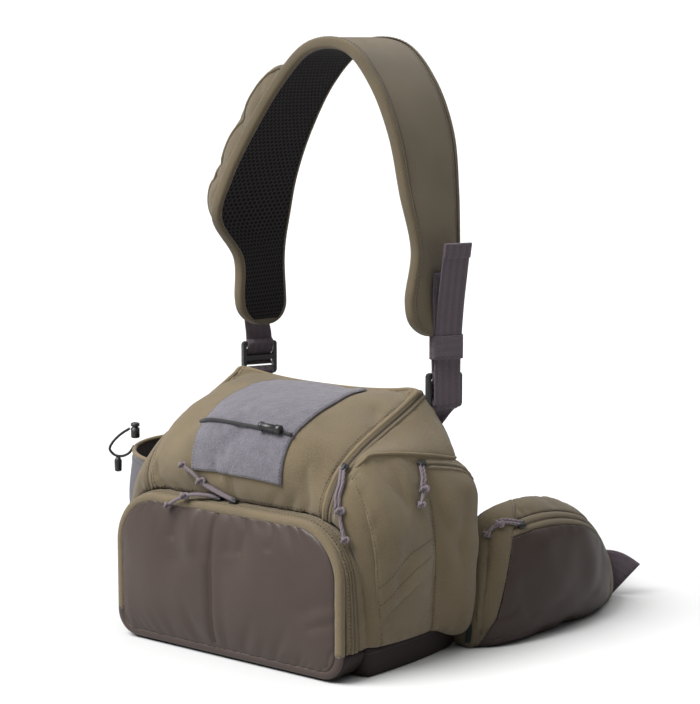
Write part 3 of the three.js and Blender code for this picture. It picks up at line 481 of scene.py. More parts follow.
def wing_band(u, v):
    """The band of a wing, turned in at its root to close the wing's front end."""
    turn = WING_TURN["root"]
    along = mix(WING["root"], band_edge(v), np.clip((u - turn) / (1 - turn), 0, 1))
    point = wing_pocket(along, v)
    inner = columns(WING_ROWS, along)[2] + GAP
    point[..., 0] = mix(inner, point[..., 0], np.sin(np.clip(u / turn, 0, 1) * np.pi / 2))
    return point


def wing_tip(u, v):
    """The end of a wing's pocket, turned in to close it."""
    straight = 1 - WING_TURN["tip"]
    point = wing_pocket(mix(WING_EDGES["tip"], 1, np.clip(u / straight, 0, 1)), v * WING_EDGES["panel"])
    share = np.cos(np.clip((u - straight) / WING_TURN["tip"], 0, 1) * np.pi / 2)
    inner = WING_ROWS[-1][2] + GAP
    point[..., 0] = np.where(u > straight, mix(inner, point[..., 0], share), point[..., 0])
    return point


def turned(degrees):
    angle = np.radians(degrees)
    return point3(np.sin(angle), np.cos(angle), 0)


def strap(u, v):
    x, y, z, half, turn = columns(STRAP_ROWS, u)
    return point3(x, y, z) + turned(turn) * ((2 * v - 1) * half)[..., None]


# Grids of points: axis 0 runs along v, axis 1 along u
def shares(count, crowd=0.75):
    """Shares from 0 to 1 that lie closer together near both ends."""
    t = np.linspace(0, 1, count + 1)
    return t - crowd * np.sin(2 * np.pi * t) / (2 * np.pi)


def grid(surface, nu, nv, crowd=0.75):
    u, v = np.meshgrid(shares(nu, crowd), shares(nv, crowd))
    return surface(u, v)


def grid_normals(points):
    return unit(np.cross(np.gradient(points, axis=1), np.gradient(points, axis=0)))


def across(points):
    return points.swapaxes(0, 1)


def mirrored(points):
    return points[:, ::-1] * MIRROR


def sample(points, u, v, crowd=0.75):
    """A crowded grid read at (u, v)."""
    columns_at = np.interp(u, shares(points.shape[1] - 1, crowd), np.arange(points.shape[1]))
    rows_at = np.interp(v, shares(points.shape[0] - 1, crowd), np.arange(points.shape[0]))
    i = np.minimum(columns_at.astype(int), points.shape[1] - 2)
    j = np.minimum(rows_at.astype(int), points.shape[0] - 2)
    f, g = (columns_at - i)[..., None], (rows_at - j)[..., None]
    low = mix(points[j, i], points[j, i + 1], f)
    return mix(low, mix(points[j + 1, i], points[j + 1, i + 1], f), g)


def inset_line(points, edge, inset):
    """The line that lies inset from one edge of a grid."""
    inward = {"bottom": points, "top": points[::-1], "left": across(points), "right": across(points)[::-1]}
    lines = inward[edge]
    k = np.interp(inset, reach(lines), np.arange(len(lines)))
    i = min(int(k), len(lines) - 2)
    return mix(lines[i], lines[i + 1], k - i)


def smooth_line(points, count):
    """Evenly spaced points on a smooth curve through some points."""
    fine = rows(points, np.linspace(0, 1, 40 * len(points)))
    along = reach(fine)
    return at_distance(np.linspace(0, along[-1], count), along, fine)


def line_length(line):
    return float(reach(line)[-1]) * MM


# Materials
def colour(red, green, blue):
    """A colour given as it shows on a screen, from 0 to 255."""
    linear = [((c / 255 + 0.055) / 1.055) ** 2.4 if c > 10 else c / 255 / 12.92 for c in (red, green, blue)]
    return (*linear, 1.0)


def shade(base, factor):
    return (*[min(c * factor, 1.0) for c in base[:3]], 1.0)


class Nodes:
    """A material's node tree, with short ways to add nodes and link them."""

    def __init__(self, name, roughness, **sockets):
        self.material = bpy.data.materials.new(name)
        self.material.use_nodes = True
        self.tree = self.material.node_tree
        self.shader = self.tree.nodes["Principled BSDF"]
        for socket, value in {"Roughness": roughness, **sockets}.items():
            self.shader.inputs[socket.replace("_", " ")].default_value = value

    def add(self, kind, inputs=None, **settings):
        node = self.tree.nodes.new("ShaderNode" + kind)
        for key, value in settings.items():
            setattr(node, key, value)
        for key, value in (inputs or {}).items():
            if isinstance(value, bpy.types.NodeSocket):
                self.tree.links.new(value, node.inputs[key])
            else:
                node.inputs[key].default_value = value
        return node

    def math(self, operation, a, b=0.0):
        return self.add("Math", {0: a, 1: b}, operation=operation).outputs[0]

    def total(self, *terms):
        """The sum of some values, each with its weight."""
        first, *others = (self.math("MULTIPLY", value, weight) for value, weight in terms)
        for other in others:
            first = self.math("ADD", first, other)
        return first

    def wave(self, value, pitch):
        return self.math("SINE", self.math("MULTIPLY", value, 2 * math.pi / pitch))

    def noise(self, vector, scale, detail=3.0):
        return self.add("TexNoise", {"Vector": vector, "Scale": scale, "Detail": detail}).outputs["Fac"]

    def uv(self):
        """The two lengths along the cloth, in metres."""
        place = self.add("UVMap", uv_map="cloth").outputs["UV"]
        parts = self.add("SeparateXYZ", {0: place})
        return place, parts.outputs["X"], parts.outputs["Y"]

    def object_place(self):
        return self.add("TexCoord").outputs["Object"]

    def finish(self, base, tone, stops, height, depth, rough=None):
        """Links colour, bump and roughness to the shader; a stop is a tone with its shade of the base."""
        ramp = self.add("ValToRGB", {0: tone})
        set_stops(ramp.color_ramp.elements, [(place, shade(base, factor)) for place, factor in stops])
        bump = self.add("Bump", {"Height": height, "Distance": depth, "Strength": 1.0})
        links = {"Base Color": ramp.outputs["Color"], "Normal": bump.outputs["Normal"]}
        if rough is not None:
            links["Roughness"] = rough
        for socket, value in links.items():
            self.tree.links.new(value, self.shader.inputs[socket])
        return self.material


def set_stops(elements, stops):
    """Sets the places and colours of a colour ramp."""
    for k, (place, tint) in enumerate(stops):
        element = elements[k] if k < len(elements) else elements.new(place)
        element.position = place
        element.color = tint


def woven(name, base, pitch=0.0011, depth=0.00014):
    """Plain-woven cloth: crossing threads, heathered yarn and soft large variation."""
    n = Nodes(name, 0.85, Sheen_Weight=0.15, Sheen_Roughness=0.5, Specular_IOR_Level=0.25)
    place, x, y = n.uv()
    weave = n.math("MULTIPLY", n.wave(x, pitch), n.wave(y, pitch))
    yarn = n.noise(place, 720, 5)
    cloud = n.noise(n.object_place(), 22)
    tone = n.total((yarn, 0.55), (cloud, 0.45), (weave, 0.05))
    stops = [(0.3, 0.712), (0.5, 1), (0.72, 1.234)]
    return n.finish(base, tone, stops, n.total((weave, 1), (yarn, 0.8)), depth)


def coated(name, base, roughness, gloss):
    """Smooth coated cloth with a fine grain, fine pores and uneven gloss."""
    n = Nodes(name, roughness, Specular_IOR_Level=gloss)
    place = n.object_place()
    grain = n.noise(place, 1400)
    cloud = n.noise(place, 14, 4)
    pores = n.add("TexVoronoi", {"Vector": place, "Scale": 900.0}).outputs["Distance"]
    spread = {0: cloud, 1: 0.3, 2: 0.7, 3: roughness - 0.03, 4: roughness + 0.04}
    rough = n.add("MapRange", spread).outputs[0]
    tone, height = n.total((grain, 0.3), (cloud, 0.7)), n.total((grain, 1), (pores, 0.6))
    return n.finish(base, tone, [(0.3, 0.86), (0.52, 1), (0.75, 1.12)], height, 0.00012, rough)


def ribbed(name, base):
    """Webbing in a herringbone weave."""
    n = Nodes(name, 0.8, Sheen_Weight=0.15, Specular_IOR_Level=0.3)
    place, x, y = n.uv()
    ribs = n.wave(n.math("ADD", x, n.math("PINGPONG", y, 0.0032)), 0.0017)
    yarn = n.noise(place, 1100)
    tone, height = n.total((ribs, 0.16), (yarn, 1)), n.total((ribs, 1), (yarn, 0.7))
    return n.finish(base, tone, [(0.3, 0.72), (0.55, 1), (0.8, 1.25)], height, 0.0003)


def felted(name, base):
    """Felt: short matted fibres."""
    n = Nodes(name, 0.95, Sheen_Weight=0.35, Specular_IOR_Level=0.15)
    place = n.object_place()
    fuzz, clump = n.noise(place, 650, 6), n.noise(place, 120, 4)
    tone, height = n.total((fuzz, 0.6), (clump, 0.4)), n.total((fuzz, 1), (clump, 1))
    return n.finish(base, tone, [(0.3, 0.7), (0.5, 1), (0.7, 1.28)], height, 0.0009)


def knitted(name, base):
    """Stretch cloth: fine vertical ribs."""
    n = Nodes(name, 0.85, Sheen_Weight=0.25, Specular_IOR_Level=0.25)
    place, x, y = n.uv()
    knit = n.math("ADD", n.wave(x, 0.0016), n.wave(y, 0.0012))
    tone = n.total((n.noise(place, 800, 4), 1), (knit, 0.06))
    return n.finish(base, tone, [(0.3, 0.75), (0.5, 1), (0.75, 1.25)], knit, 0.0003)


def spacer_mesh(name, base):
    """Open spacer mesh: rows of small six-sided holes."""
    n = Nodes(name, 0.85, Specular_IOR_Level=0.12)
    place, x, y = n.uv()
    pitch, wide = 0.0042, math.sqrt(3)

    def to_centre(value, step, offset):
        share = n.math("ADD", n.math("DIVIDE", value, step), offset)
        return n.math("SUBTRACT", n.math("FRACT", share), 0.5)

    holes = []
    for offset in (0.0, 0.5):
        a = n.math("MULTIPLY", to_centre(x, pitch * wide, offset), wide)
        b = to_centre(y, pitch, offset)
        squares = n.math("ADD", n.math("MULTIPLY", a, a), n.math("MULTIPLY", b, b))
        holes.append(n.math("SQRT", squares))
    nearest = n.math("MINIMUM", *holes)
    yarn = n.math("SUBTRACT", n.noise(place, 900), 0.5)
    stops = [(0.22, 0.3), (0.36, 0.9), (0.5, 4.0)]
    tone, height = n.total((nearest, 1), (yarn, 0.12)), n.math("MINIMUM", nearest, 0.42)
    return n.finish(base, tone, stops, height, 0.0012)


def moulded(name, base, roughness=0.42):
    """Moulded plastic with a fine spark-eroded grain."""
    n = Nodes(name, roughness, Specular_IOR_Level=0.5)
    place = n.object_place()
    return n.finish(base, n.noise(place, 60), [(0.3, 0.8), (0.7, 1.3)], n.noise(place, 1800, 2), 0.00006)


def twisted(name, base):
    """Braided cord and sewing thread."""
    n = Nodes(name, 0.75, Sheen_Weight=0.2, Specular_IOR_Level=0.3)
    place = n.object_place()
    strands = n.add("TexWave", {"Vector": place, "Scale": 190.0, "Distortion": 2.0}).outputs["Fac"]
    tone = n.total((strands, 0.5), (n.noise(place, 1500), 0.5))
    return n.finish(base, tone, [(0.25, 0.62), (0.55, 1), (0.8, 1.3)], tone, 0.0003)


OLIVE_TINT = colour(98, 86, 65)
OLIVE = woven("olive_cloth", OLIVE_TINT)
# Painted shade: a copy of the olive cloth darkened to 0.74 of its tint. It is used for the strap, its pocket
# and binding, and the wings' band, tip and top, which face away from the light.
SHADED_OLIVE = woven("painted_shade_olive_cloth", shade(OLIVE_TINT, 0.74))
BINDING = woven("olive_binding", shade(OLIVE_TINT, 0.92), pitch=0.0016, depth=0.0003)
BROWN = coated("brown_coated", colour(57, 46, 41), roughness=0.45, gloss=0.34)
SEAT = coated("dark_base", colour(30, 22, 20), roughness=0.6, gloss=0.2)
DARK = coated("dark_coated", colour(46, 36, 32), roughness=0.5, gloss=0.24)
GREY = felted("grey_felt", colour(88, 85, 92))
STRETCH = knitted("grey_stretch", colour(84, 81, 88))
MAUVE = ribbed("mauve_webbing", colour(76, 65, 73))
PAD_CLOTH = woven("dark_pad_cloth", colour(58, 51, 54), pitch=0.0014)
MESH = spacer_mesh("black_mesh", colour(18, 16, 17))
PLASTIC = moulded("black_plastic", colour(18, 18, 19))
CORD = twisted("mauve_cord", colour(94, 84, 89))
BLACK_CORD = twisted("black_cord", colour(30, 29, 30))
THREAD = twisted("olive_thread", colour(56, 48, 33))
DARK_THREAD = twisted("dark_thread", colour(48, 41, 37))
TEETH = moulded("zip_teeth", colour(58, 50, 37), roughness=0.5)
GREEN = woven("green_label", colour(14, 28, 21), pitch=0.0009)


# The part of the finish that each material belongs to
SLOT_MATERIALS = {
    "olive_cloth": [OLIVE, SHADED_OLIVE, BINDING, THREAD, DARK_THREAD, TEETH],
    "brown_coated_cloth": [BROWN, SEAT],
    "dark_coated_cloth": [DARK],
    "grey_felt": [GREY, STRETCH],
    "webbing": [MAUVE, PAD_CLOTH, CORD, BLACK_CORD],
    "spacer_mesh": [MESH],
    "black_plastic": [PLASTIC],
    "green_label": [GREEN],
}
SLOTS = {material.name: slot for slot, materials in SLOT_MATERIALS.items() for material in materials}


# Pieces
def placed(thing, replaces):
    """A thing, set in the scene as a piece of the pack."""
    bpy.context.scene.collection.objects.link(thing)
    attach(thing, "root")
    if replaces:
        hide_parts(*replaces)
    return thing


def piece(name, points, faces, material, replaces=(), slot=None, uvs=None, smooth=True):
    """A mesh given in millimetres, as a piece of the pack."""
    mesh = bpy.data.meshes.new(name)
    mesh.from_pydata((points.reshape(-1, 3) * MM).tolist(), [], faces)
    if uvs is not None:
        layer = mesh.uv_layers.new(name="cloth")
        corners = np.empty(len(mesh.loops), int)
        mesh.loops.foreach_get("vertex_index", corners)
        layer.data.foreach_set("uv", (uvs[corners] * MM).ravel())
    mesh.polygons.foreach_set("use_smooth", np.full(len(mesh.polygons), smooth))
    mesh.update()
    mesh.materials.append(material)
    return placed(bpy.data.objects.new(name, mesh), replaces)


def grid_faces(nv, nu, start=0):
    """The faces of a grid of nv by nu points."""
    index = np.arange(nv * nu).reshape(nv, nu) + start
    corners = (index[:-1, :-1], index[:-1, 1:], index[1:, 1:], index[1:, :-1])
    return np.stack(corners, -1).reshape(-1, 4)


def ring_faces(count, sides, closed=True):
    """The faces round a stack of rings, and those that close its ends."""
    index = np.arange(count * sides).reshape(count, sides)
    following = np.roll(index, -1, axis=1)
    faces = np.stack([index[:-1], following[:-1], following[1:], index[1:]], -1).reshape(-1, 4).tolist()
    return faces + [index[0, ::-1].tolist(), index[-1].tolist()] if closed else faces


def wall(name, inside, outside, material, replaces=(), flipped=False):
    """A closed body between two grids, as a piece with the lengths along its cloth."""
    nv, nu = inside.shape[:2]
    count = nv * nu
    index = np.arange(count).reshape(nv, nu)
    rim = np.concatenate([index[0, :-1], index[:-1, -1], index[-1, :0:-1], index[:0:-1, 0]])
    after = np.roll(rim, -1)
    sides = np.stack([rim, after, after + count, rim + count], -1)
    faces = np.concatenate([grid_faces(nv, nu)[:, ::-1], grid_faces(nv, nu, count), sides])
    faces = faces[:, ::-1] if flipped else faces
    lengths = np.stack(np.meshgrid(reach(across(outside)), reach(outside)), -1).reshape(-1, 2)
    points = np.stack([inside, outside])
    return piece(name, points, faces.tolist(), material, replaces, uvs=np.tile(lengths, (2, 1)))


def edge_distance(points):
    """How far each point of a grid lies from the grid's nearest edge."""
    along_v, along_u = reach(points), reach(across(points))
    v = np.minimum(along_v, along_v[-1] - along_v)
    u = np.minimum(along_u, along_u[-1] - along_u)
    return np.minimum(*np.meshgrid(u, v))


def edge_roll(points, width, least):
    """How full a wall is at each point of a grid: it rolls down to a least share at its edges."""
    near = np.clip(edge_distance(points) / width, 0, 1)
    return mix(least, 1, np.sqrt(1 - (1 - near) ** 2))


# The least side of a sheet, in metres, and its least share of its flat size
SMALLEST_SHEET, LEAST_SHARE = 0.012, 0.31
# The least height of any cloth above the floor
LOWEST = 0.3


def flat_area(points):
    first, second = points[1:, 1:] - points[:-1, :-1], points[1:, :-1] - points[:-1, 1:]
    return np.linalg.norm(np.cross(first, second), axis=-1).sum() / 2


# Waves of a panel: how many, how long, how their lengths vary, and how far from the seams they are full
RIPPLE = {"count": 7, "length": 48, "varied": (0.7, 1.6), "margin": 14}
# Puckers at a seam: how long, how their lengths vary, how far they reach, and over what distance they rise
GATHER = {"lengths": (11, 17, 26), "varied": (0.8, 1.25), "reach": 8, "rise": 2.5}
# The share of its thickness that a panel keeps at its seams
SEAM_SHARE = 0.15


def ripple(points, generator):
    """Soft random waves over a grid, from about -1 to 1."""
    along_u, along_v = np.meshgrid(reach(across(points)), reach(points))
    height = np.zeros(along_u.shape)
    for _ in range(RIPPLE["count"]):
        angle, phase = generator.uniform(0, 2 * np.pi, 2)
        turns = 2 * np.pi / (RIPPLE["length"] * generator.uniform(*RIPPLE["varied"]))
        height += np.sin((along_u * np.cos(angle) + along_v * np.sin(angle)) * turns + phase)
    return height * 2 / RIPPLE["count"]


def gathers(points, generator):
    """The small puckers that seams pull into the edges of a panel, from about -1 to 1."""
    along_u, along_v = np.meshgrid(reach(across(points)), reach(points))
    ends = (along_v, along_v.max() - along_v, along_u, along_u.max() - along_u)
    height = np.zeros(along_u.shape)
    for away, along in zip(ends, (along_u, along_u, along_v, along_v)):
        waves = np.zeros(along.shape)
        for length in GATHER["lengths"]:
            turns = 2 * np.pi / (length * generator.uniform(*GATHER["varied"]))
            waves += np.sin(along * turns + generator.uniform(0, 2 * np.pi))
        height += waves / 2 * np.exp(-away / GATHER["reach"]) * np.minimum(away / GATHER["rise"], 1)
    return height


def cloth(
    name, points, material, replaces=(), thick=CLOTH, base=0.0, roll=4.5, gather=0.4, wave=0.8, seed=None
):
    """A cut and sewn panel: a cloth wall on a grid, rolled down to its seams. Returns its outer grid."""
    generator = np.random.default_rng(len(points) if seed is None else seed)
    lift = base + gather * gathers(points, generator)
    lift = lift + wave * ripple(points, generator) * np.clip(edge_distance(points) / RIPPLE["margin"], 0, 1)
    heights = (lift, lift + thick * edge_roll(points, roll, SEAM_SHARE))
    inside, outside = (points + grid_normals(points) * height[..., None] for height in heights)
    for layer in (inside, outside):
        layer[..., 2] = np.maximum(layer[..., 2], LOWEST)
    made = wall(name, inside, outside, material, replaces)
    width, length = reach(across(points))[-1] * MM, reach(points)[-1] * MM
    area = min(max(flat_area(points) * MM * MM, LEAST_SHARE * width * length), width * length)
    return outside


# Cloth settles at ten times its size, so that the solver's own distances stay small beside it
SETTLING_SCALE = 10 * MM
SETTLING = {
    "quality": 5,
    "mass": 0.2,
    "tension_stiffness": 25,
    "compression_stiffness": 25,
    "shear_stiffness": 10,
    "air_damping": 2,
    "vertex_group_mass": "held",
    "use_pressure": True,
}


def settle(points, pressure=1.0, slack=0.03, bend=1.0, cap=4.0, frames=18):
    """A grid of cloth, a little too large for the seams that hold its edges, after it has settled."""
    nv, nu = points.shape[:2]
    mesh = bpy.data.meshes.new("settling")
    mesh.from_pydata((points.reshape(-1, 3) * SETTLING_SCALE).tolist(), [], grid_faces(nv, nu).tolist())
    thing = bpy.data.objects.new("settling", mesh)
    bpy.context.scene.collection.objects.link(thing)
    held = thing.vertex_groups.new(name="held")
    index = np.arange(nv * nu).reshape(nv, nu)
    edge = np.unique(np.concatenate([index[0], index[-1], index[:, 0], index[:, -1]]))
    held.add(edge.tolist(), 1.0, "REPLACE")
    modifier = thing.modifiers.new("cloth", "CLOTH")
    settings = modifier.settings
    own = {"bending_stiffness": bend, "shrink_min": -slack, "uniform_pressure_force": pressure}
    for key, value in {**SETTLING, **own}.items():
        setattr(settings, key, value)
    settings.effector_weights.gravity = 0
    modifier.point_cache.frame_start = 1
    modifier.point_cache.frame_end = frames
    scene = bpy.context.scene
    for step in range(1, frames + 1):
        scene.frame_set(step)
    settled = thing.evaluated_get(bpy.context.evaluated_depsgraph_get())
    moved = np.empty(nv * nu * 3, np.float32)
    settled.data.vertices.foreach_get("co", moved)
    scene.frame_set(1)
    bpy.data.objects.remove(thing)
    shift = moved.reshape(nv, nu, 3) / SETTLING_SCALE - points
    far = np.linalg.norm(shift, axis=-1, keepdims=True)
    return points + shift * np.tanh(far / cap) * cap / np.maximum(far, 1e-9)


def repeated(places, axes, template, faces):
    """Points and faces of one small shape set at many places; axes are their three directions."""
    points = np.einsum("kj,njc->nkc", np.asarray(template, float), axes) + places[:, None, :]
    steps = np.arange(len(places))[:, None, None] * len(template)
    return points.reshape(-1, 3), (np.asarray(faces)[None] + steps).reshape(-1, len(faces[0])).tolist()


def frames_on(line, pitch, up):
    """Places every pitch on a line, with directions along it, across it and up."""
    along = reach(line)
    wanted = np.arange(pitch / 2, along[-1], pitch)
    places, further = (at_distance(wanted + step, along, line) for step in (0, pitch / 4))
    ahead = unit(further - places + 1e-9)
    sideways = unit(np.cross(at_distance(wanted, along, np.broadcast_to(up, line.shape)), ahead))
    return places, np.stack([ahead, sideways, np.cross(ahead, sideways)], 1)


# A direction that no seam or axis has
ASKEW = (0.31, 0.52, 0.79)
STITCH = np.array([(-1, 0, 0), (1, 0, 0), (0, 1, 0), (0, -1, 0), (0, 0, 1), (0, 0, -1)])
STITCH_FACES = [(1, 2, 4), (2, 0, 4), (0, 3, 4), (3, 1, 4), (2, 1, 5), (0, 2, 5), (3, 0, 5), (1, 3, 5)]


def stitches(name, lines, material=THREAD, slot=None, pitch=3.4, long=1.35, thick=0.48):
    """Rows of sewing stitches along lines."""
    frames = [frames_on(line, pitch, ASKEW) for line in lines]
    places, axes = (np.concatenate(parts) for parts in zip(*frames))
    places[:, 2] = np.maximum(places[:, 2], long)
    sewn = repeated(places, axes, STITCH * (long, thick, thick), STITCH_FACES)
    return piece(name, *sewn, material, slot=slot)


def seams(name, points, edges, inset, *look, **sizes):
    """Stitches that lie inset from some edges of a grid."""
    return stitches(name, [inset_line(points, edge, inset) for edge in edges], *look, **sizes)


BOX = np.array([(x, y, z) for z in (-1, 1) for y in (-1, 1) for x in (-1, 1)])
BOX_FACES = [(0, 2, 3, 1), (4, 5, 7, 6), (0, 1, 5, 4), (2, 6, 7, 3), (0, 4, 6, 2), (1, 3, 7, 5)]
ZIP_LIPS = {"least": 0.35, "rise": 0.8, "power": 0.6}
TOOTH = {"pitch": 1.5, "shape": (0.45, 0.75, 0.4), "aside": 0.3, "raised": 0.3}


def zip_tape(name, points, replaces=()):
    """A covered zip on a grid: two soft lips that meet over a coil of dark teeth."""
    share = reach(points) / reach(points)[-1]
    lips = ZIP_LIPS["least"] + ZIP_LIPS["rise"] * np.abs(np.sin(2 * np.pi * share)) ** ZIP_LIPS["power"]
    normals = grid_normals(points)
    outside = points + normals * (CLOTH * lips)[:, None, None]
    wall(f"{name}_tape", points, outside, BINDING, replaces)
    middle = len(points) // 2
    up = normals[middle]
    places, axes = frames_on(outside[middle] + up * TOOTH["raised"], TOOTH["pitch"], up)
    by_turns = np.where(np.arange(len(places)) % 2, TOOTH["aside"], -TOOTH["aside"])
    teeth = repeated(places + axes[:, 1] * by_turns[:, None], axes, BOX * TOOTH["shape"], BOX_FACES)
    piece(f"{name}_teeth", *teeth, TEETH, smooth=False)


def circle(sides, first, second):
    """Directions all round, from the first towards the second."""
    angles = np.linspace(0, 2 * np.pi, sides, endpoint=False)[:, None]
    return np.cos(angles) * first + np.sin(angles) * second


def tube(name, line, radius, material, replaces=(), slot=None, sides=10, closed=True):
    """A round tube along a line, with closed ends unless it is a loop."""
    ahead = unit(np.gradient(line, axis=0))
    sideways = unit(np.cross(ahead, (0.2, 0.3, 0.93)))
    around = circle(sides, sideways[:, None], np.cross(sideways, ahead)[:, None])
    faces = ring_faces(len(line), sides, closed)
    return piece(name, line[:, None] + around * radius, faces, material, replaces, slot)


def lathe(name, profile, place, axis, replaces=(), sides=24):
    """A turned plastic shape: profile rows are the distance along the axis and the radius."""
    axis = unit(np.asarray(axis, float))
    sideways = unit(np.cross(axis, ASKEW))
    away, radius = np.array(profile, float).T[..., None, None]
    points = np.asarray(place) + away * axis + radius * circle(sides, sideways, np.cross(axis, sideways))
    return piece(name, points, ring_faces(len(profile), sides), PLASTIC, replaces)


WEB_EDGE = {"crowd": 0.6, "roll": 1.2, "least": 0.45}


def ribbon(name, route, width, turn, replaces=(), count=60, free=False):
    """Flat webbing along a route; turn(line) gives the directions of its width. Returns its outer grid."""
    line = smooth_line(route, count)
    points = line[None] + turn(line)[None] * ((shares(8, WEB_EDGE["crowd"]) - 0.5) * width)[:, None, None]
    full = edge_roll(points, WEB_EDGE["roll"], WEB_EDGE["least"])
    half = grid_normals(points) * (WEBBING / 2 * full)[..., None]
    made = wall(name, points - half, points + half, MAUVE, replaces)
    if free:
        line_length(line)
    return points + half


# Main compartment
LOWER_EDGES = ("left", "right", "bottom")


def build_main():
    def side_wall(u, v):
        return side(u, v * (1 - zip_share(u)))

    def flap_wall(u, v):
        """The right side, whose upper part hangs over the hem of the pockets."""
        hem, top, ledge = hem_share(u) - FLAP["drop"], 1 - zip_share(u), FLAP["ledge"]
        below = v < 0.5
        up = np.where(below, mix(0, hem - ledge, 2 * v), mix(hem + ledge, top, 2 * v - 1))
        above = np.where(below, 0, 1 - smoothstep(2 * v - 1, 0, 1))
        start = smoothstep(u, FLAP["start"] - FLAP["fade"], FLAP["start"])
        lift = FLAP["lift"] * above * (start * (1 - smoothstep(u, FLAP["end"], 1)))
        seam = sleeve_start(np.minimum(up / hem, 1))
        lift = lift + np.where(below, FLAP["rise"] * smoothstep(u / seam, 0.1, 0.95), 0)
        return side(u, up) + normal(side, u, up) * lift[..., None]

    outer = cloth("side_right", grid(flap_wall, 48, 61, 0.3), OLIVE, ["side_panel_right"], seed=3)
    hem = (outer - grid_normals(outer) * FLAP_ROLL["sunk"])[len(outer) // 2, slice(*FLAP_ROLL["columns"])]
    tube("flap_roll", smooth_line(hem, 90), FLAP_ROLL["radius"], OLIVE)
    left = settle(mirrored(grid(side_wall, 44, 44)), pressure=0.6, slack=0.025)
    cloth("side_left", left, OLIVE, ["side_panel_left"], seed=4)
    top = 1 - zip_share(1.0)
    rear = settle(grid(region(back, 0, 1, 0, top), 50, 44), pressure=0.5, slack=0.02)
    rear = cloth("back", rear, OLIVE, ["back_panel"], seed=5)
    inner = front_surface(1, BASE["height"] + GAP, lambda u, share, z: seam_y(z) + GAP / 2)
    cloth("inner_front", grid(inner, 30, 24) + (0, CLOTH, 0), OLIVE, ["front_wall"])

    folded = region(with_folds(lid, LID_FOLDS), 0, 1, 0, LID_ROLL["start"])
    points = settle(grid(folded, 72, 64), pressure=0.9, slack=0.018, bend=2.0)
    top = cloth("lid_cloth", points, OLIVE, ["lid"], gather=0.5, seed=6)
    seams("lid_stitching", top, LOWER_EDGES, 4.5)
    seams("back_stitching", rear, LOWER_EDGES, 6)
    return top


# The lid's zip: each side's share of its length, how far it reaches below its edge, and where it starts
LID_ZIP = {"side": 0.4, "below": 0.012, "start": 0.005}


def build_lid_zip():
    stretch = LID_ZIP["side"]

    def band(t, w):
        folded_t = np.where(t > 1 - stretch, 1 - t, t)
        along = np.clip(folded_t / stretch, 0, 1)
        height = mix(1 - zip_share(along) - LID_ZIP["below"], 1, w)
        on_side = side(mix(LID_ZIP["start"], 1, along), height)
        on_back = back(np.clip((t - stretch) / (1 - 2 * stretch), 0, 1), height)
        points = np.where((folded_t <= stretch)[..., None], on_side, on_back)
        return points * np.where((t > 1 - stretch)[..., None], MIRROR, 1.0)

    zip_tape("lid_zip", grid(band, 220, 16, 0.0), ["lid_zip"])

    # The rolled edge of the lid above the zip
    def lid_rim(u, v, outward):
        u, v = np.broadcast_arrays(u, v)
        return lid(u, v) + unit(normal(lid, u, v) + outward) * LID_ROLL["out"]

    right = lid_rim(LID_ROLL["edge"], np.linspace(0.01, 0.985, 50), (1, 0, 0))
    rear = lid_rim(np.linspace(0.97, 0.03, 40), LID_ROLL["edge"], (0, 1, 0))
    line = np.concatenate([right, rear, right[::-1] * MIRROR])
    tube("lid_roll", smooth_line(line[::3], 260), LID_ROLL["radius"], OLIVE)


def build_patch(top):
    u, v = np.meshgrid(shares(44), shares(50))
    u0, u1, v0, v1 = PATCH_AREA
    points = sample(top, mix(u0, u1, u), mix(v0, v1, v))
    sizes = {"thick": PATCH_CLOTH, "base": OVERLAY_GAP, "roll": 2.0, "gather": 0.2, "wave": 0.3}
    felt = cloth("felt_patch", points, GREY, ["fly_patch"], **sizes)
    seams("patch_stitching", felt, LOWER_EDGES, 2.5, pitch=2.6, long=1.0, thick=0.45)
    row = int(len(felt) * TIPPET["row"])
    place, up = felt[row], grid_normals(felt)[row]
    last = len(place) - 1
    columns_at = [int(share * last) for share in TIPPET["line"]]
    route = place[columns_at] + up[columns_at] * (GAP + CORD_RADIUS)
    tube("tippet_line", smooth_line(route, 60), CORD_RADIUS, BLACK_CORD, ["tippet_cord"], "black_plastic")
    start, end = (int(share * last) for share in TIPPET["barrel"])
    middle = (place[start] + place[end]) / 2 + up[(start + end) // 2] * (GAP + 4)
    axis = place[end] - place[start]
    half = np.linalg.norm(axis) / 2
    profile = [(-half, 2.4), (-half, 3.4), (-half + 1, 4), (-half + 3, 4), (-half + 3.6, 3.3)]
    profile += [(half - 5.6, 3.3), (half - 5, 4), (half - 1, 4), (half, 3.2), (half, 2.2)]
    lathe("tippet_barrel", profile, middle, axis)


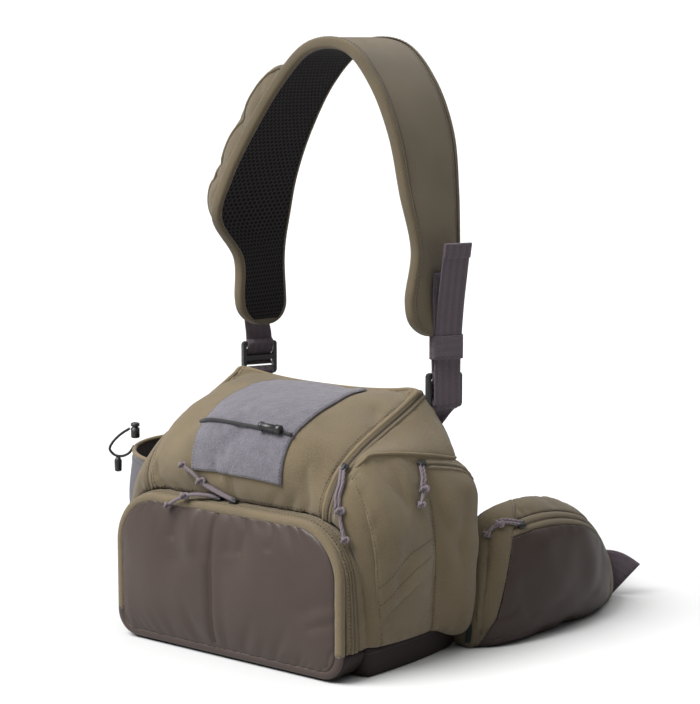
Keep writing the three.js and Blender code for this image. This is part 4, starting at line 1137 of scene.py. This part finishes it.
def build_base():
    edge, height = BASE["edge"], BASE["height"]
    sections = [(edge, 0), (2, 0.4), (0.7, 1.6), (0, edge), (0, 12), (0, height - 3), (0.5, height)]
    sides = 120

    def ring(inset, z):
        x, front, rear = FULL_BASE["half"] - inset, BASE["front"] + inset, FULL_BASE["back"] - inset
        radius, bow = FULL_BASE["corner"], FULL_BASE["bow"]
        middle = (front + rear) / 2
        corners = [
            ((x - radius, front), (x, front), (x + 1, front + radius)),
            ((x + 1, front + radius), (x + 2 * bow - 1, middle), (x + 1, rear - radius)),
            ((x + 1, rear - radius), (x, rear), (x - radius, rear)),
        ]
        line = []
        for a, b, c in corners:
            t = np.linspace(0, 1, 30)[:, None]
            line.append(np.array(a) * (1 - t) ** 2 + 2 * np.array(b) * t * (1 - t) + np.array(c) * t**2)
        half = np.concatenate(line)
        loop = np.concatenate([half, half[::-1] * (-1, 1), half[:1]])
        along = reach(loop)
        return point3(*at_distance(np.linspace(0, along[-1], sides, endpoint=False), along, loop).T, z)

    outer = [ring(inset, z) for inset, z in sections]
    inner = [ring(inset + CLOTH, min(z + CLOTH, height)) for inset, z in sections]
    rings = np.array(outer + inner[::-1])
    piece("base_cloth", rings, ring_faces(len(rings), sides), SEAT, ["base_tray"])
    seam = np.vstack([outer[-2], outer[-2][:1]]) - (0, 0, 1)
    stitches("base_stitching", [seam], DARK_THREAD, "brown_coated_cloth")


# Front pocket
CROWN_POWER = 2.5
BAND_THICK = 1.4
# The strips of the gusset and its zip, as shares of the depth from the front
STRIPS = {"front_strip": (0.2, 0.38), "rear_strip": (0.66, 1.4)}
FRONT_ZIP = (0.34, 0.68)


def build_front():
    inset = FRONT_INSET

    def crown(t):
        return 1 - np.abs(2 * t - 1) ** CROWN_POWER

    panel = front_surface(
        inset,
        FRONT["low"] + inset,
        lambda u, share, z: FRONT["face"] - FRONT["swell"] * crown(u) * crown(share),
    )
    folded = raised(panel, lambda u, v: relief(FRONT_FOLDS, u, (1 - np.cos(np.pi * v)) / 2))
    points = settle(grid(folded, 110, 72, 0.5), pressure=0.8, slack=0.008, bend=3.0, cap=3.0)
    cloth("front_cloth", points, BROWN, ["front_panel"], roll=4.0, gather=0.06, wave=0.5, seed=7)

    def edging(name, first, last, material, replaces=()):
        x, z = outline(np.linspace(first, last, 181))
        slope = unit(np.stack([np.gradient(x), np.gradient(z)], -1))
        inset, depth = (c[:, None] for c in smooth_line([(a, b, 0) for a, b in BAND_PROFILE], 17).T[:2])
        points = point3(x - slope[:, 1] * inset, FRONT["face"] + depth, z + slope[:, 0] * inset)
        wall(name, points - grid_normals(points) * BAND_THICK, points, material, replaces)

    edging("piping", RIM_SHARE, 1 - RIM_SHARE, OLIVE, ["front_piping"])
    edging("low_piping", -RIM_SHARE, RIM_SHARE, BROWN)

    def gusset(first, last, near, far):
        def surface(u, v):
            gx, gz = outline(mix(first, last, u))
            return point3(gx, mix(FRONT["face"], seam_y(gz), mix(far, near, v)), gz)

        return surface

    for node, depths in STRIPS.items():
        points = grid(gusset(RIM_SHARE, 1 - RIM_SHARE, *depths), 160, 10, 0.3)
        outer = cloth(f"{node}_cloth", points, OLIVE, [node], roll=2.4, gather=0.3, wave=0.2, seed=8)
        seams(f"{node}_cloth_stitching", outer, ("bottom", "top"), 2.2)
    points = grid(gusset(RIM_SHARE, 1 - RIM_SHARE, *FRONT_ZIP), 200, 16, 0.0)
    zip_tape("front_zip", points, ["front_zip"])
    points = grid(gusset(-RIM_SHARE, RIM_SHARE, 0, 1), 90, 14, 0.3)
    cloth("pocket_base_cloth", points, SEAT, ["front_pocket_base"], gather=0.3, seed=9)


# Right side
def build_right():
    def layered(u, v):
        """The sleeve, whose upper layer ends in a slanted hem over the lower one."""
        hem, split = mix(SLANT["front"], SLANT["back"], u), SLANT["split"]
        below = v < split
        under, upper = hem - SLANT["ledge"][0], hem + SLANT["ledge"][1]
        up = np.where(below, mix(0, under, v / split), mix(upper, 1, (v - split) / (1 - split)))
        lift = np.where(below, 0, SLANT["lift"] * (1 - smoothstep(up, *SLANT["fade"])))
        lift = lift * np.sin(np.pi * np.clip(u, 0, 1)).clip(0) ** 0.3
        return sleeve(u, up) + normal(sleeve, u, up) * (lift + relief(SLEEVE_FOLDS, u, up))[..., None]

    points = grid(layered, 44, 61, 0.3)
    outer = cloth("sleeve_cloth", points, OLIVE, ["side_sleeve"], gather=0.6, wave=1.1, seed=10)
    lines = [inset_line(outer, edge, 3) for edge in ("left", "right")]
    lines += [outer[k, 2:-2] + grid_normals(outer)[k, 2:-2] * 0.1 for k in SLANT_STITCHES]
    stitches("sleeve_stitching", lines)

    def rounded(u, v):
        return side_pocket(u, v * (1 - POCKET_TAPER * smoothstep(u, 0.3, 0.85) ** 2))

    points = settle(grid(with_folds(rounded, POCKET_FOLDS), 52, 56), pressure=0.9)
    outer = cloth("pocket_cloth", points, OLIVE, ["side_pocket"], gather=0.7, wave=0.9, seed=11)
    seams("pocket_stitching", outer, ("left", "right"), 3)
    u, v = np.meshgrid(np.linspace(*POCKET_ZIP["along"], 90), np.linspace(*POCKET_ZIP["across"], 11))
    strip = sample(outer, u, v)
    zip_tape("pocket_zip", strip - grid_normals(strip) * POCKET_ZIP["sunk"])


# Left side
DRAWCORD_RADIUS = 1.2
DRAWCORD_ROUTE = [
    (-189.5, 8.5, 161),
    (-196, 4, 156),
    (-202, 0, 149),
    (-205, -2, 142),
    (-201.5, 0.5, 136.5),
    (-195.5, 4, 135.5),
    (-190, 7.5, 138.5),
    (-185.9, 10.1, 145.3),
]


def cord_curve(name, line, radius, material, replaces):
    """A cord as a curve of one open spline through the points of a line."""
    data = bpy.data.curves.new(name, "CURVE")
    data.dimensions = "3D"
    spline = data.splines.new("POLY")
    spline.points.add(len(line) - 1)
    spline.points.foreach_set("co", np.c_[line * MM, np.ones(len(line))].ravel())
    data.bevel_depth = radius * MM
    data.bevel_resolution = 3
    data.use_fill_caps = True
    data.materials.append(material)
    return placed(bpy.data.objects.new(name, data), replaces)


def declare_cord(line):
    line_length(line)


def knot(name, place, size):
    """A tight overhand knot."""
    t = np.linspace(0, 2 * np.pi, 60)
    loop = point3(np.sin(t) + 2 * np.sin(2 * t), np.cos(t) - 2 * np.cos(2 * t), -np.sin(3 * t) * 1.4)
    return tube(name, place + loop * size / 3.4, size * 0.42, CORD, sides=8, closed=False)


def build_left():
    points = mirrored(grid(bottle_pocket, 64, 48, 0.5))
    sizes = {"thick": STRETCH_CLOTH, "roll": 1.6, "wave": 1.2}
    outer = cloth("bottle_pocket_cloth", points, STRETCH, ["bottle_pocket"], **sizes)
    tube("bottle_pocket_hem", inset_line(outer, "top", 1.0), 2.0, BINDING)
    seams("bottle_pocket_stitching", outer, ["top"], 7, DARK_THREAD, "grey_felt")
    line = smooth_line(DRAWCORD_ROUTE, 60)
    cord = cord_curve("drawcord_line", line, DRAWCORD_RADIUS, BLACK_CORD, ["drawcord"])

    def upright_lathe(name, node, profile):
        low, high = (np.array(c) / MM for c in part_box(node))
        half, radius = (high[2] - low[2]) / 2, (high[0] - low[0]) / 2
        return lathe(name, profile(half, radius), (low + high) / 2, (0, 0, 1), [node])

    def lock_profile(half, radius):
        lower = [(-half, 2.6), (-half, 3.2), (1 - half, radius), (half - 5, radius), (half - 4.4, 2.8)]
        return lower + [(half - 3.6, 2.8), (half - 3, radius), (half - 0.8, radius), (half, 2.8)]

    def end_profile(half, radius):
        return [(-half, 2.0), (0.8 - half, 3.2), (half - 3, 3.4), (half - 0.8, 2.4), (half, 1.8)]

    lock = upright_lathe("drawcord_toggle", "drawcord_lock", lock_profile)
    end = upright_lathe("drawcord_tab", "drawcord_end", end_profile)
    declare_cord(line)


# Hip wings and belt
def build_wings():
    low, high, tip = WING_EDGES["panel"], WING_EDGES["zip"], WING_EDGES["tip"]
    hands = [("right", lambda points: points), ("left", mirrored)]
    # The band, tip and top take the olive cloth darkened as painted shade.
    parts = [
        ("band", wing_band, 40, 60, SHADED_OLIVE, BAND_FOLDS),
        ("panel", wing_part(band_edge, lambda v: tip, 0, low), 60, 54, DARK, WING_FOLDS),
        ("tip", wing_tip, 28, 54, SHADED_OLIVE, []),
        ("top", wing_part(band_edge, lambda v: 1, high, 1), 56, 24, SHADED_OLIVE, []),
    ]
    for name, surface, nu, nv, material, folds in parts:
        points = settle(grid(with_folds(surface, folds), nu, nv), pressure=0.6, slack=0.008)
        lift = WING["band_lift"] if name == "band" else 0.0
        for hand, turn in hands:
            near, far = ("left", "right") if hand == "right" else ("right", "left")
            replaces = [f"wing_{name}_{hand}"] if name != "tip" else ()
            sizes = {"base": lift, "roll": 2.5, "gather": 0.1, "seed": 12}
            outer = cloth(f"wing_{name}_cloth_{hand}", turn(points), material, replaces, **sizes)
            if name == "panel":
                slot = SLOTS[material.name]
                seams(f"wing_panel_stitching_{hand}", outer, ("top", near), 2.5, DARK_THREAD, slot)
            if name == "band":
                seams(f"wing_band_stitching_{hand}", outer, [far], 3)
    tape = grid(wing_part(band_edge, lambda v: 1, low, high), 90, 16, 0.0)
    pad = grid(wing_pad, 60, 40)
    for hand, turn in hands:
        sign = 1 if hand == "right" else -1
        zip_tape(f"wing_zip_{hand}", turn(tape), [f"wing_zip_{hand}"])
        stay = [(sign * WING_STAY["x"], WING_STAY[end], WING_STAY["height"]) for end in ("front", "back")]
        ribbon(f"wing_stay_web_{hand}", stay, WING_STAY["width"], upright, [f"wing_stay_{hand}"], count=12)
        points = turn(pad)
        thick = WING["pad"] * edge_roll(points, 7, 0.3)[..., None]
        inside = points - grid_normals(points) * thick
        made = wall(f"wing_pad_foam_{hand}", inside, points, PAD_CLOTH, [f"wing_pad_{hand}"])


BELT_WIDTH, BELT_HEIGHT = 38, 22
BELT_ROUTE = [(125, 298.5), (118, 310), (98, 319), (68, 322), (33.5, 322)]
TAIL_ROUTE = [(132.2, 297.4, 22.5), (140, 301.4, 23), (147, 304.4, 21), (155, 308, 15.2)]
TAIL_TILT = (0.525, 0.415, 0.74)


def upright(line):
    return np.tile([0.0, 0.0, 1.0], (len(line), 1))


def tilting(line):
    """From upright to the tilt of the belt's free end."""
    share = smoothstep(np.linspace(0, 1, len(line)), 0, 0.7)[:, None]
    return unit(mix(np.array([0.0, 0.0, 1.0]), np.array(TAIL_TILT), share))


def dress(node, material, bevel=0.6):
    """Rounds the edges of a moulded solid and gives it its finish."""
    thing = NODES[node]
    thing.data.materials.clear()
    thing.data.materials.append(material)
    modifier = thing.modifiers.new("rounding", "BEVEL")
    modifier.width = bevel * MM
    modifier.segments = 3
    modifier.limit_method = "ANGLE"
    modifier.angle_limit = math.radians(40)
    thing.data.polygons.foreach_set("use_smooth", np.full(len(thing.data.polygons), True))
    thing.modifiers.new("normals", "WEIGHTED_NORMAL")


def build_belt():
    for hand, sign in (("right", 1), ("left", -1)):
        route = [(sign * x, y, BELT_HEIGHT) for x, y in BELT_ROUTE]
        ribbon(f"belt_webbing_{hand}", route, BELT_WIDTH, upright, [f"belt_web_{hand}"])
        dress(f"belt_lock_{hand}", PLASTIC)
    outer = ribbon("belt_tail_webbing", TAIL_ROUTE, BELT_WIDTH, tilting, ["belt_tail"], free=True)
    stitches("belt_tail_stitching", [outer[1:-1, -8], outer[1:-1, -5]], DARK_THREAD, "webbing")
    dress("belt_buckle", PLASTIC, 1.6)


# Shoulder strap
STRAP = {"thick": 6.6, "lining": 2.2, "end_round": 20.0, "end_half": 4.0}
STRAP_POWERS = {"edge": 0.34, "face": 0.62, "binding": 0.7}
LINING = {"inset": 2.6, "end_inset": 5.0, "depth": 2.55, "thick": 1.2}
STRAP_HALF, STRAP_LIFT = (STRAP["thick"] + STRAP["lining"]) / 2, (STRAP["thick"] - STRAP["lining"]) / 2
FACE_SEAM = 1.02


def strap_frame(count):
    """Stations of the strap: middle points, width directions, outward directions and half widths."""
    fine = np.linspace(0, 1, 600)
    middle = strap(fine, np.full(600, 0.5))
    along = reach(middle)
    u = np.interp(shares(count, 0.9) * along[-1], along, fine)
    x, y, z, half, turn = columns(STRAP_ROWS, u)
    out = normal(strap, u, np.full_like(u, 0.5))
    from_end = np.interp(u, fine, np.minimum(along, along[-1] - along))
    radius = STRAP["end_round"]
    short = np.clip(radius - from_end, 0, radius)
    half = half - radius + np.sqrt(np.maximum(radius**2 - short**2, 0.0))
    return point3(x, y, z), turned(turn), out, np.maximum(half, STRAP["end_half"]), from_end


def off_strap(stations, aside, rise):
    """Points beside and above the strap's middle line, at each of its stations."""
    middle, sideways, out = (column[:, None] for column in stations[:3])
    return middle + sideways * aside[..., None] + out * rise[..., None]


def signed_power(wave, exponent):
    return np.sign(wave) * np.abs(wave) ** exponent


def strap_ring(stations, angles):
    """Rings round the strap: flat faces and full round edges."""
    aside = stations[3][:, None] * signed_power(np.cos(angles), STRAP_POWERS["edge"])
    rise = STRAP_LIFT + STRAP_HALF * signed_power(np.sin(angles), STRAP_POWERS["face"])
    return off_strap(stations, aside, np.broadcast_to(rise, aside.shape))


def build_strap():
    stations = strap_frame(200)
    rings = strap_ring(stations, np.linspace(0, 2 * np.pi, 56, endpoint=False))
    faces = [face[:1] + face[:0:-1] for face in ring_faces(*rings.shape[:2], closed=False)]
    looped = np.concatenate([rings, rings[:, :1]], 1)
    lengths = np.stack(np.meshgrid(reach(across(looped))[:-1], reach(looped)), -1).reshape(-1, 2)
    # The strap's foam takes the olive cloth darkened as painted shade.
    pad = piece("strap_foam", rings, faces, SHADED_OLIVE, ["strap_pad"], uvs=lengths)

    lines = strap_ring(stations, np.array([FACE_SEAM, np.pi - FACE_SEAM]))[8:-8]
    stitches("strap_face_stitching", across(lines), DARK_THREAD, thick=0.5)

    inner = [column[stations[4] > LINING["end_inset"]] for column in stations]
    aside = (inner[3] - LINING["inset"])[:, None] * (2 * np.linspace(0, 1, 24) - 1)
    heights = (LINING["thick"] - LINING["depth"], -LINING["depth"])
    layers = [across(off_strap(inner, aside, np.full_like(aside, height))) for height in heights]
    wall("strap_lining", *layers, MESH, ["strap_mesh"], flipped=True)
    build_binding(stations)
    build_strap_pocket()


BINDING_TAPE = {"over": 0.7, "round": 3.2, "flat_from": 0.55, "flat": 1.76, "thick": 0.9, "seam": 1.4}


def build_binding(stations):
    """The cloth tape that wraps the strap's edge, with its seam."""
    tape = BINDING_TAPE
    turn = np.linspace(-1, 1, 22)
    angle = turn * math.pi / 2
    flat = np.clip(np.abs(turn) - tape["flat_from"], 0, 1) / (1 - tape["flat_from"]) * tape["flat"]
    aside = stations[3][:, None] + tape["over"] - tape["round"] * (1 - np.cos(angle)) - flat
    rise = STRAP_LIFT + (STRAP_HALF + tape["over"]) * signed_power(np.sin(angle), STRAP_POWERS["binding"])
    rise = np.broadcast_to(rise, aside.shape)
    lines = []
    for name, sign in (("strap_binding_back", 1), ("strap_binding_front", -1)):
        points = across(off_strap(stations, sign * aside, rise)[:, ::sign])[::-1]
        # The binding takes the olive cloth darkened as painted shade.
        wall(name, points - grid_normals(points) * tape["thick"], points, SHADED_OLIVE)
        lines += [inset_line(points, edge, tape["seam"]) for edge in ("bottom", "top")]
    stitches("strap_stitching", lines, DARK_THREAD)


STRAP_POCKET = {"start": 0.2, "end": 0.44, "inset": 0.05, "swell": 17, "squareness": 6, "pad_edge": 2.6}


PIPING = {"along": (0.04, 0.96), "row": 0.12, "radius": 1.5}


def build_strap_pocket():
    pocket = STRAP_POCKET

    def pad_face(u, v):
        crown = 1 - np.abs(2 * v - 1) ** 4
        return mix(pocket["pad_edge"], STRAP["thick"], crown) + OVERLAY_GAP

    def full(t):
        return 1 - np.abs(2 * t - 1) ** pocket["squareness"]

    inset = pocket["inset"]
    base = region(raised(strap, pad_face), pocket["start"], pocket["end"], inset, 1 - inset)
    surface = raised(base, lambda u, v: pocket["swell"] * full(u) * full(v))
    points = settle(grid(surface, 60, 52), slack=0.04, cap=5.0)
    sizes = {"gather": 0.35, "wave": 1.0, "seed": 13}
    # The strap pocket and its piping take the olive cloth darkened as painted shade.
    outer = cloth("strap_pocket_cloth", points, SHADED_OLIVE, ["strap_pocket"], **sizes)
    edge = sample(outer, np.linspace(*PIPING["along"], 60), np.full(60, PIPING["row"]))
    tube("strap_pocket_piping", edge, PIPING["radius"], SHADED_OLIVE)


STRAP_WEB = {"width": 25, "turn": 25, "pad_turn": 4, "settle": (240, 292)}
RIGHT_WEB = [(110.7, 77, 318), (109.9, 77, 292), (110.8, 79, 266), (109.2, 81, 250), (107, 85, 232.5)]
LEFT_WEB = [(-98.6, 76, 300), (-98, 76, 280), (-97, 78, 262), (-99, 83, 250), (-100, 85, 241.5)]
STRAP_TAIL = [
    (111, 83.5, 204),
    (111.6, 82, 232),
    (113.6, 80, 255),
    (118.5, 76.5, 288),
    (124.5, 73, 318),
    (130, 70, 344),
]
STRAP_ENDS = [("right", 0.11, (106, 85, 217), RIGHT_WEB), ("left", 0.89, (-100, 85, 226), LEFT_WEB)]
KEEPER = {"place": (111.8, 80, 255), "deep": 10.5, "high": 20, "slack": 0.9, "corner": 2.5}
# Webbing through a ladder lock: in front of its middle, above its middle
LOCK_ROUTE = [(0.9, 17), (3.7, 13), (0.5, 6.4), (-3.7, 0), (0, -6.4), (5.1, -12.5)]
LOOP_ROUTE = [(-0.9, -16.5), (3.6, -13.5), (0.9, -8.6), (-3.6, -12.5), (-1.8, -17)]
ANCHOR = {"high": 0.82, "low": 0.66, "stand": 4, "drop": 0.8, "turned": 0.4, "lock_high": 30}


def settled_turn(line):
    share = smoothstep(line[:, 2], *STRAP_WEB["settle"])
    return turned(mix(STRAP_WEB["turn"], STRAP_WEB["pad_turn"], share))


def level_turn(line):
    return turned(np.full(len(line), STRAP_WEB["turn"]))


WEB_AHEAD = np.cross(turned(STRAP_WEB["turn"]), (0, 0, 1))


def at_lock(lock, places):
    """A route past a ladder lock: how far in front of its middle, and how far above."""
    return [np.array(lock) + WEB_AHEAD * front + (0, 0, up) for front, up in places]


def build_keeper():
    """The sewn loop of webbing that holds the free end to the strap."""
    width, deep = STRAP_WEB["width"] + KEEPER["slack"] + WEBBING, KEEPER["deep"] - WEBBING
    corner = KEEPER["corner"]
    flat = []
    for x, y, start in ((1, -1, -90), (1, 1, 0), (-1, 1, 90), (-1, -1, 180)):
        angles = np.radians(np.linspace(start, start + 90, 7))
        middle = np.array([x * (deep / 2 - corner), y * (width / 2 - corner)])
        flat.append(middle + corner * np.stack([np.cos(angles), np.sin(angles)], -1))
    flat = np.concatenate([*flat, flat[0][:1]])
    path = np.array(KEEPER["place"]) + flat[:, :1] * WEB_AHEAD + flat[:, 1:] * turned(STRAP_WEB["turn"])
    heights = np.linspace(-0.5, 0.5, 9) * KEEPER["high"]
    points = path[None] + point3(0, 0, heights)[:, None]
    half = grid_normals(points) * WEBBING / 2
    wall("strap_keeper_loop", points - half, points + half, MAUVE, ["strap_keeper"])


def build_strap_ends():
    width = STRAP_WEB["width"]
    for hand, share, lock, route in STRAP_ENDS:
        dress(f"strap_lock_{hand}", PLASTIC)
        outer = ribbon(f"strap_webbing_{hand}", route, width, settled_turn, [f"strap_web_{hand}"])
        ends = [outer[1:-1, 3], outer[1:-1, 12], outer[1, 3:13], outer[-2, 3:13]]
        stitches(f"strap_webbing_stitching_{hand}", ends, DARK_THREAD, "webbing")
        threaded = at_lock(lock, LOCK_ROUTE[: 6 if hand == "right" else 5])
        ribbon(f"strap_lock_webbing_{hand}", threaded, width, level_turn)
        ribbon(f"strap_lock_loop_{hand}", at_lock(lock, LOOP_ROUTE), width, level_turn)

        def on_back(v):
            place = (np.array([share]), np.array([v]))
            flat = CLOTH + OVERLAY_GAP + WEBBING / 2
            return (back(*place) + normal(back, *place) * flat)[0]

        start = np.array(lock) - (1, 0, ANCHOR["lock_high"] / 2 + ANCHOR["drop"])
        bent = on_back(ANCHOR["high"]) + (0, ANCHOR["stand"], 0)
        line = [start, bent, on_back(ANCHOR["low"])]
        low, high = line[-1][2], line[0][2]

        def bend(line):
            along = smoothstep((high - line[:, 2]) / (high - low), 0, ANCHOR["turned"])
            return turned(mix(STRAP_WEB["turn"], 90, along))

        ribbon(f"strap_anchor_webbing_{hand}", line, width, bend, [f"strap_anchor_{hand}"])
    outer = ribbon("strap_tail_webbing", STRAP_TAIL, width, level_turn, ["strap_tail"], count=90, free=True)
    hem = smooth_line(STRAP_TAIL, 90)[-9:]
    ribbon("strap_tail_hem", hem + WEB_AHEAD * WEBBING, width, level_turn, count=20)
    raised_hem = outer[1:-1] + WEB_AHEAD * WEBBING
    stitches("strap_tail_stitching", [raised_hem[:, -8], raised_hem[:, -5]], DARK_THREAD, "webbing")
    build_keeper()


# Zip pulls and the label
SLIDER_SIZES = np.array([(4.2, 2.9, 1.2), (3.0, 0.9, 0.9)])
SLIDER_STEP, SLIDER_ROUND = 1.6, 0.6
# A pull's points, those that are doubled, the twin cord's place and size, and the sizes of the knots
PULL = {"points": 40, "doubled": 24, "apart": 2.6, "twin": 0.9, "knot": 3.8, "end": 3.2}


def slider(name, place, outward, along):
    """A zip slider: a rounded body with a raised bridge."""
    across_it = unit(np.cross(outward, along))
    axes = np.array([np.cross(across_it, outward), across_it, outward]) * SLIDER_SIZES[..., None]
    places = np.array([place, place + outward * SLIDER_STEP])
    made = piece(name, *repeated(places, axes, BOX, BOX_FACES), PLASTIC)
    modifier = made.modifiers.new("rounding", "BEVEL")
    modifier.width = SLIDER_ROUND * MM
    modifier.segments = 2
    return made


def pull(node, place, outward, along, route):
    """A slider with a doubled, knotted cord."""
    outward = unit(np.asarray(outward, float))
    head = slider(f"{node}_slider", np.asarray(place), outward, along)
    line = smooth_line([place, *route], PULL["points"])
    cord = cord_curve(f"{node}_cord", line, CORD_RADIUS, CORD, [node])
    middle = PULL["doubled"]
    second = line[:middle] + unit(np.cross(np.gradient(line, axis=0), outward))[:middle] * PULL["apart"]
    twin = tube(f"{node}_twin", second, CORD_RADIUS * PULL["twin"], CORD)
    knots = [knot(f"{node}_{end}", line[k], PULL[end]) for end, k in (("knot", middle), ("end", -1))]
    declare_cord(line)


UPPER_PULL = [(-24, -71.5, 143), (-37, -73, 152), (-49, -73.5, 158)]
LOWER_PULL = [(-24, -73, 135.5), (-40, -79.5, 134), (-58, -82, 124)]
LID_PULL = [(107.5, -54.5, 159), (108.5, -60.1, 148.7), (112.5, -63.5, 131.9), (118, -65, 117)]
SIDE_SLIDER = (130.5, 21.4, 166.2)
SIDE_PULL = [(136.2, 17.5, 156), (139, 12, 146.5), (141.2, 6, 136.5)]
# A pull that lies on the wing: along, up, lift
WING_PULL = [(0.22, 0.85, 5.4), (0.18, 0.87, 5.4), (0.14, 0.88, 5.4)]
SLIDER_LIFT = CLOTH + GAP + 1.5
LID_SLIDER = 0.318
WING_SLIDER = (0.29, 0.81)
FRONT_SLIDERS = {"upper": (3, -67.4), "lower": (-14, -67.4)}
LABEL_AREA = (0.1, 0.2, 0.16, 0.53)


def over(surface, *table):
    """Points over a surface, from rows of u, v and lift, and the outward directions there."""
    u, v, lift = np.array(table, float).T
    outward = normal(surface, u, v)
    return surface(u, v) + outward * lift[:, None], outward


def on(surface, u, v, lift):
    points, outward = over(surface, (u, v, lift))
    return points[0], outward[0]


def build_pulls():
    middle = 1 - zip_share(LID_SLIDER) / 2
    place, outward = on(side, LID_SLIDER, middle, SLIDER_LIFT)
    ahead = on(side, LID_SLIDER + 0.02, 1.0, 0)[0] - on(side, LID_SLIDER - 0.02, 1.0, 0)[0]
    pull("lid_pull", place, outward, ahead, LID_PULL)
    top = FRONT["high"] + SLIDER_LIFT
    for end, route in (("upper", UPPER_PULL), ("lower", LOWER_PULL)):
        pull(f"front_pull_{end}", (*FRONT_SLIDERS[end], top), (0, 0, 1), (1, 0, 0), route)
    hem = float(hem_share(np.array(POCKET["start"])))
    pull("side_pull", np.array(SIDE_SLIDER), on(side, POCKET["start"], hem, 0)[1], (0, 1, 0), SIDE_PULL)
    place, outward = on(wing_pocket, *WING_SLIDER, SLIDER_LIFT)
    route = over(wing_pocket, *WING_PULL)[0]
    pull("wing_pull_right", place, outward, (0, 1, 0), route)
    pull("wing_pull_left", place * MIRROR, outward * MIRROR, (0, 1, 0), route * MIRROR)
    label = grid(region(wing_band, *LABEL_AREA), 10, 20)
    cloth("label_cloth", label, GREEN, ["label_tab"], thick=1.0, base=OVERLAY, roll=0.8, gather=0, wave=0)


def aim(thing, ahead):
    thing.rotation_euler = Vector(ahead).to_track_quat("-Z", "Y").to_euler()


def build_stage():
    scene = bpy.context.scene
    camera = bpy.data.objects.new("camera", bpy.data.cameras.new("camera"))
    scene.collection.objects.link(camera)
    azimuth, pitch = math.radians(CAMERA["azimuth"]), math.radians(CAMERA["pitch"])
    level = math.cos(pitch)
    camera.location = CAMERA["place"]
    aim(camera, (-math.sin(azimuth) * level, math.cos(azimuth) * level, -math.sin(pitch)))
    camera.data.sensor_width = CAMERA["sensor"]
    camera.data.lens = CAMERA["lens"]
    scene.camera = camera
    scene.view_settings.view_transform = "Standard"

    world = bpy.data.worlds.new("studio")
    world.use_nodes = True
    tree = world.node_tree
    towards = tree.nodes.new("ShaderNodeTexCoord")
    parts = tree.nodes.new("ShaderNodeSeparateXYZ")
    ramp = tree.nodes.new("ShaderNodeValToRGB")
    set_stops(ramp.color_ramp.elements, [(height, (bright, bright, bright, 1)) for height, bright in DOME])
    sky = tree.nodes["Background"]
    sky.inputs["Strength"].default_value = DOME_STRENGTH
    tree.links.new(towards.outputs["Generated"], parts.inputs[0])
    tree.links.new(parts.outputs["Z"], ramp.inputs[0])
    tree.links.new(ramp.outputs["Color"], sky.inputs["Color"])
    scene.world = world

    mesh = bpy.data.meshes.new("floor")
    corners = [(x * FLOOR["half"], y * FLOOR["half"], 0) for x, y in ((-1, -1), (1, -1), (1, 1), (-1, 1))]
    mesh.from_pydata(corners, [], [(0, 1, 2, 3)])
    floor = bpy.data.objects.new("floor", mesh)
    scene.collection.objects.link(floor)
    paint = Nodes("pale_floor", 0.9, Base_Color=(*[FLOOR["tone"]] * 3, 1), Specular_IOR_Level=0.0)
    mesh.materials.append(paint.material)

    for name, place, strength, spread in LAMPS:
        light = bpy.data.lights.new(name, "SUN")
        light.energy = strength
        light.angle = math.radians(spread)
        lamp = bpy.data.objects.new(name, light)
        aim(lamp, [-c for c in place])
        scene.collection.objects.link(lamp)


build_stage()
build_left()
build_pulls()
top_cloth = build_main()
build_lid_zip()
build_patch(top_cloth)
build_base()
build_front()
build_right()
build_wings()
build_belt()
build_strap()
build_strap_ends()
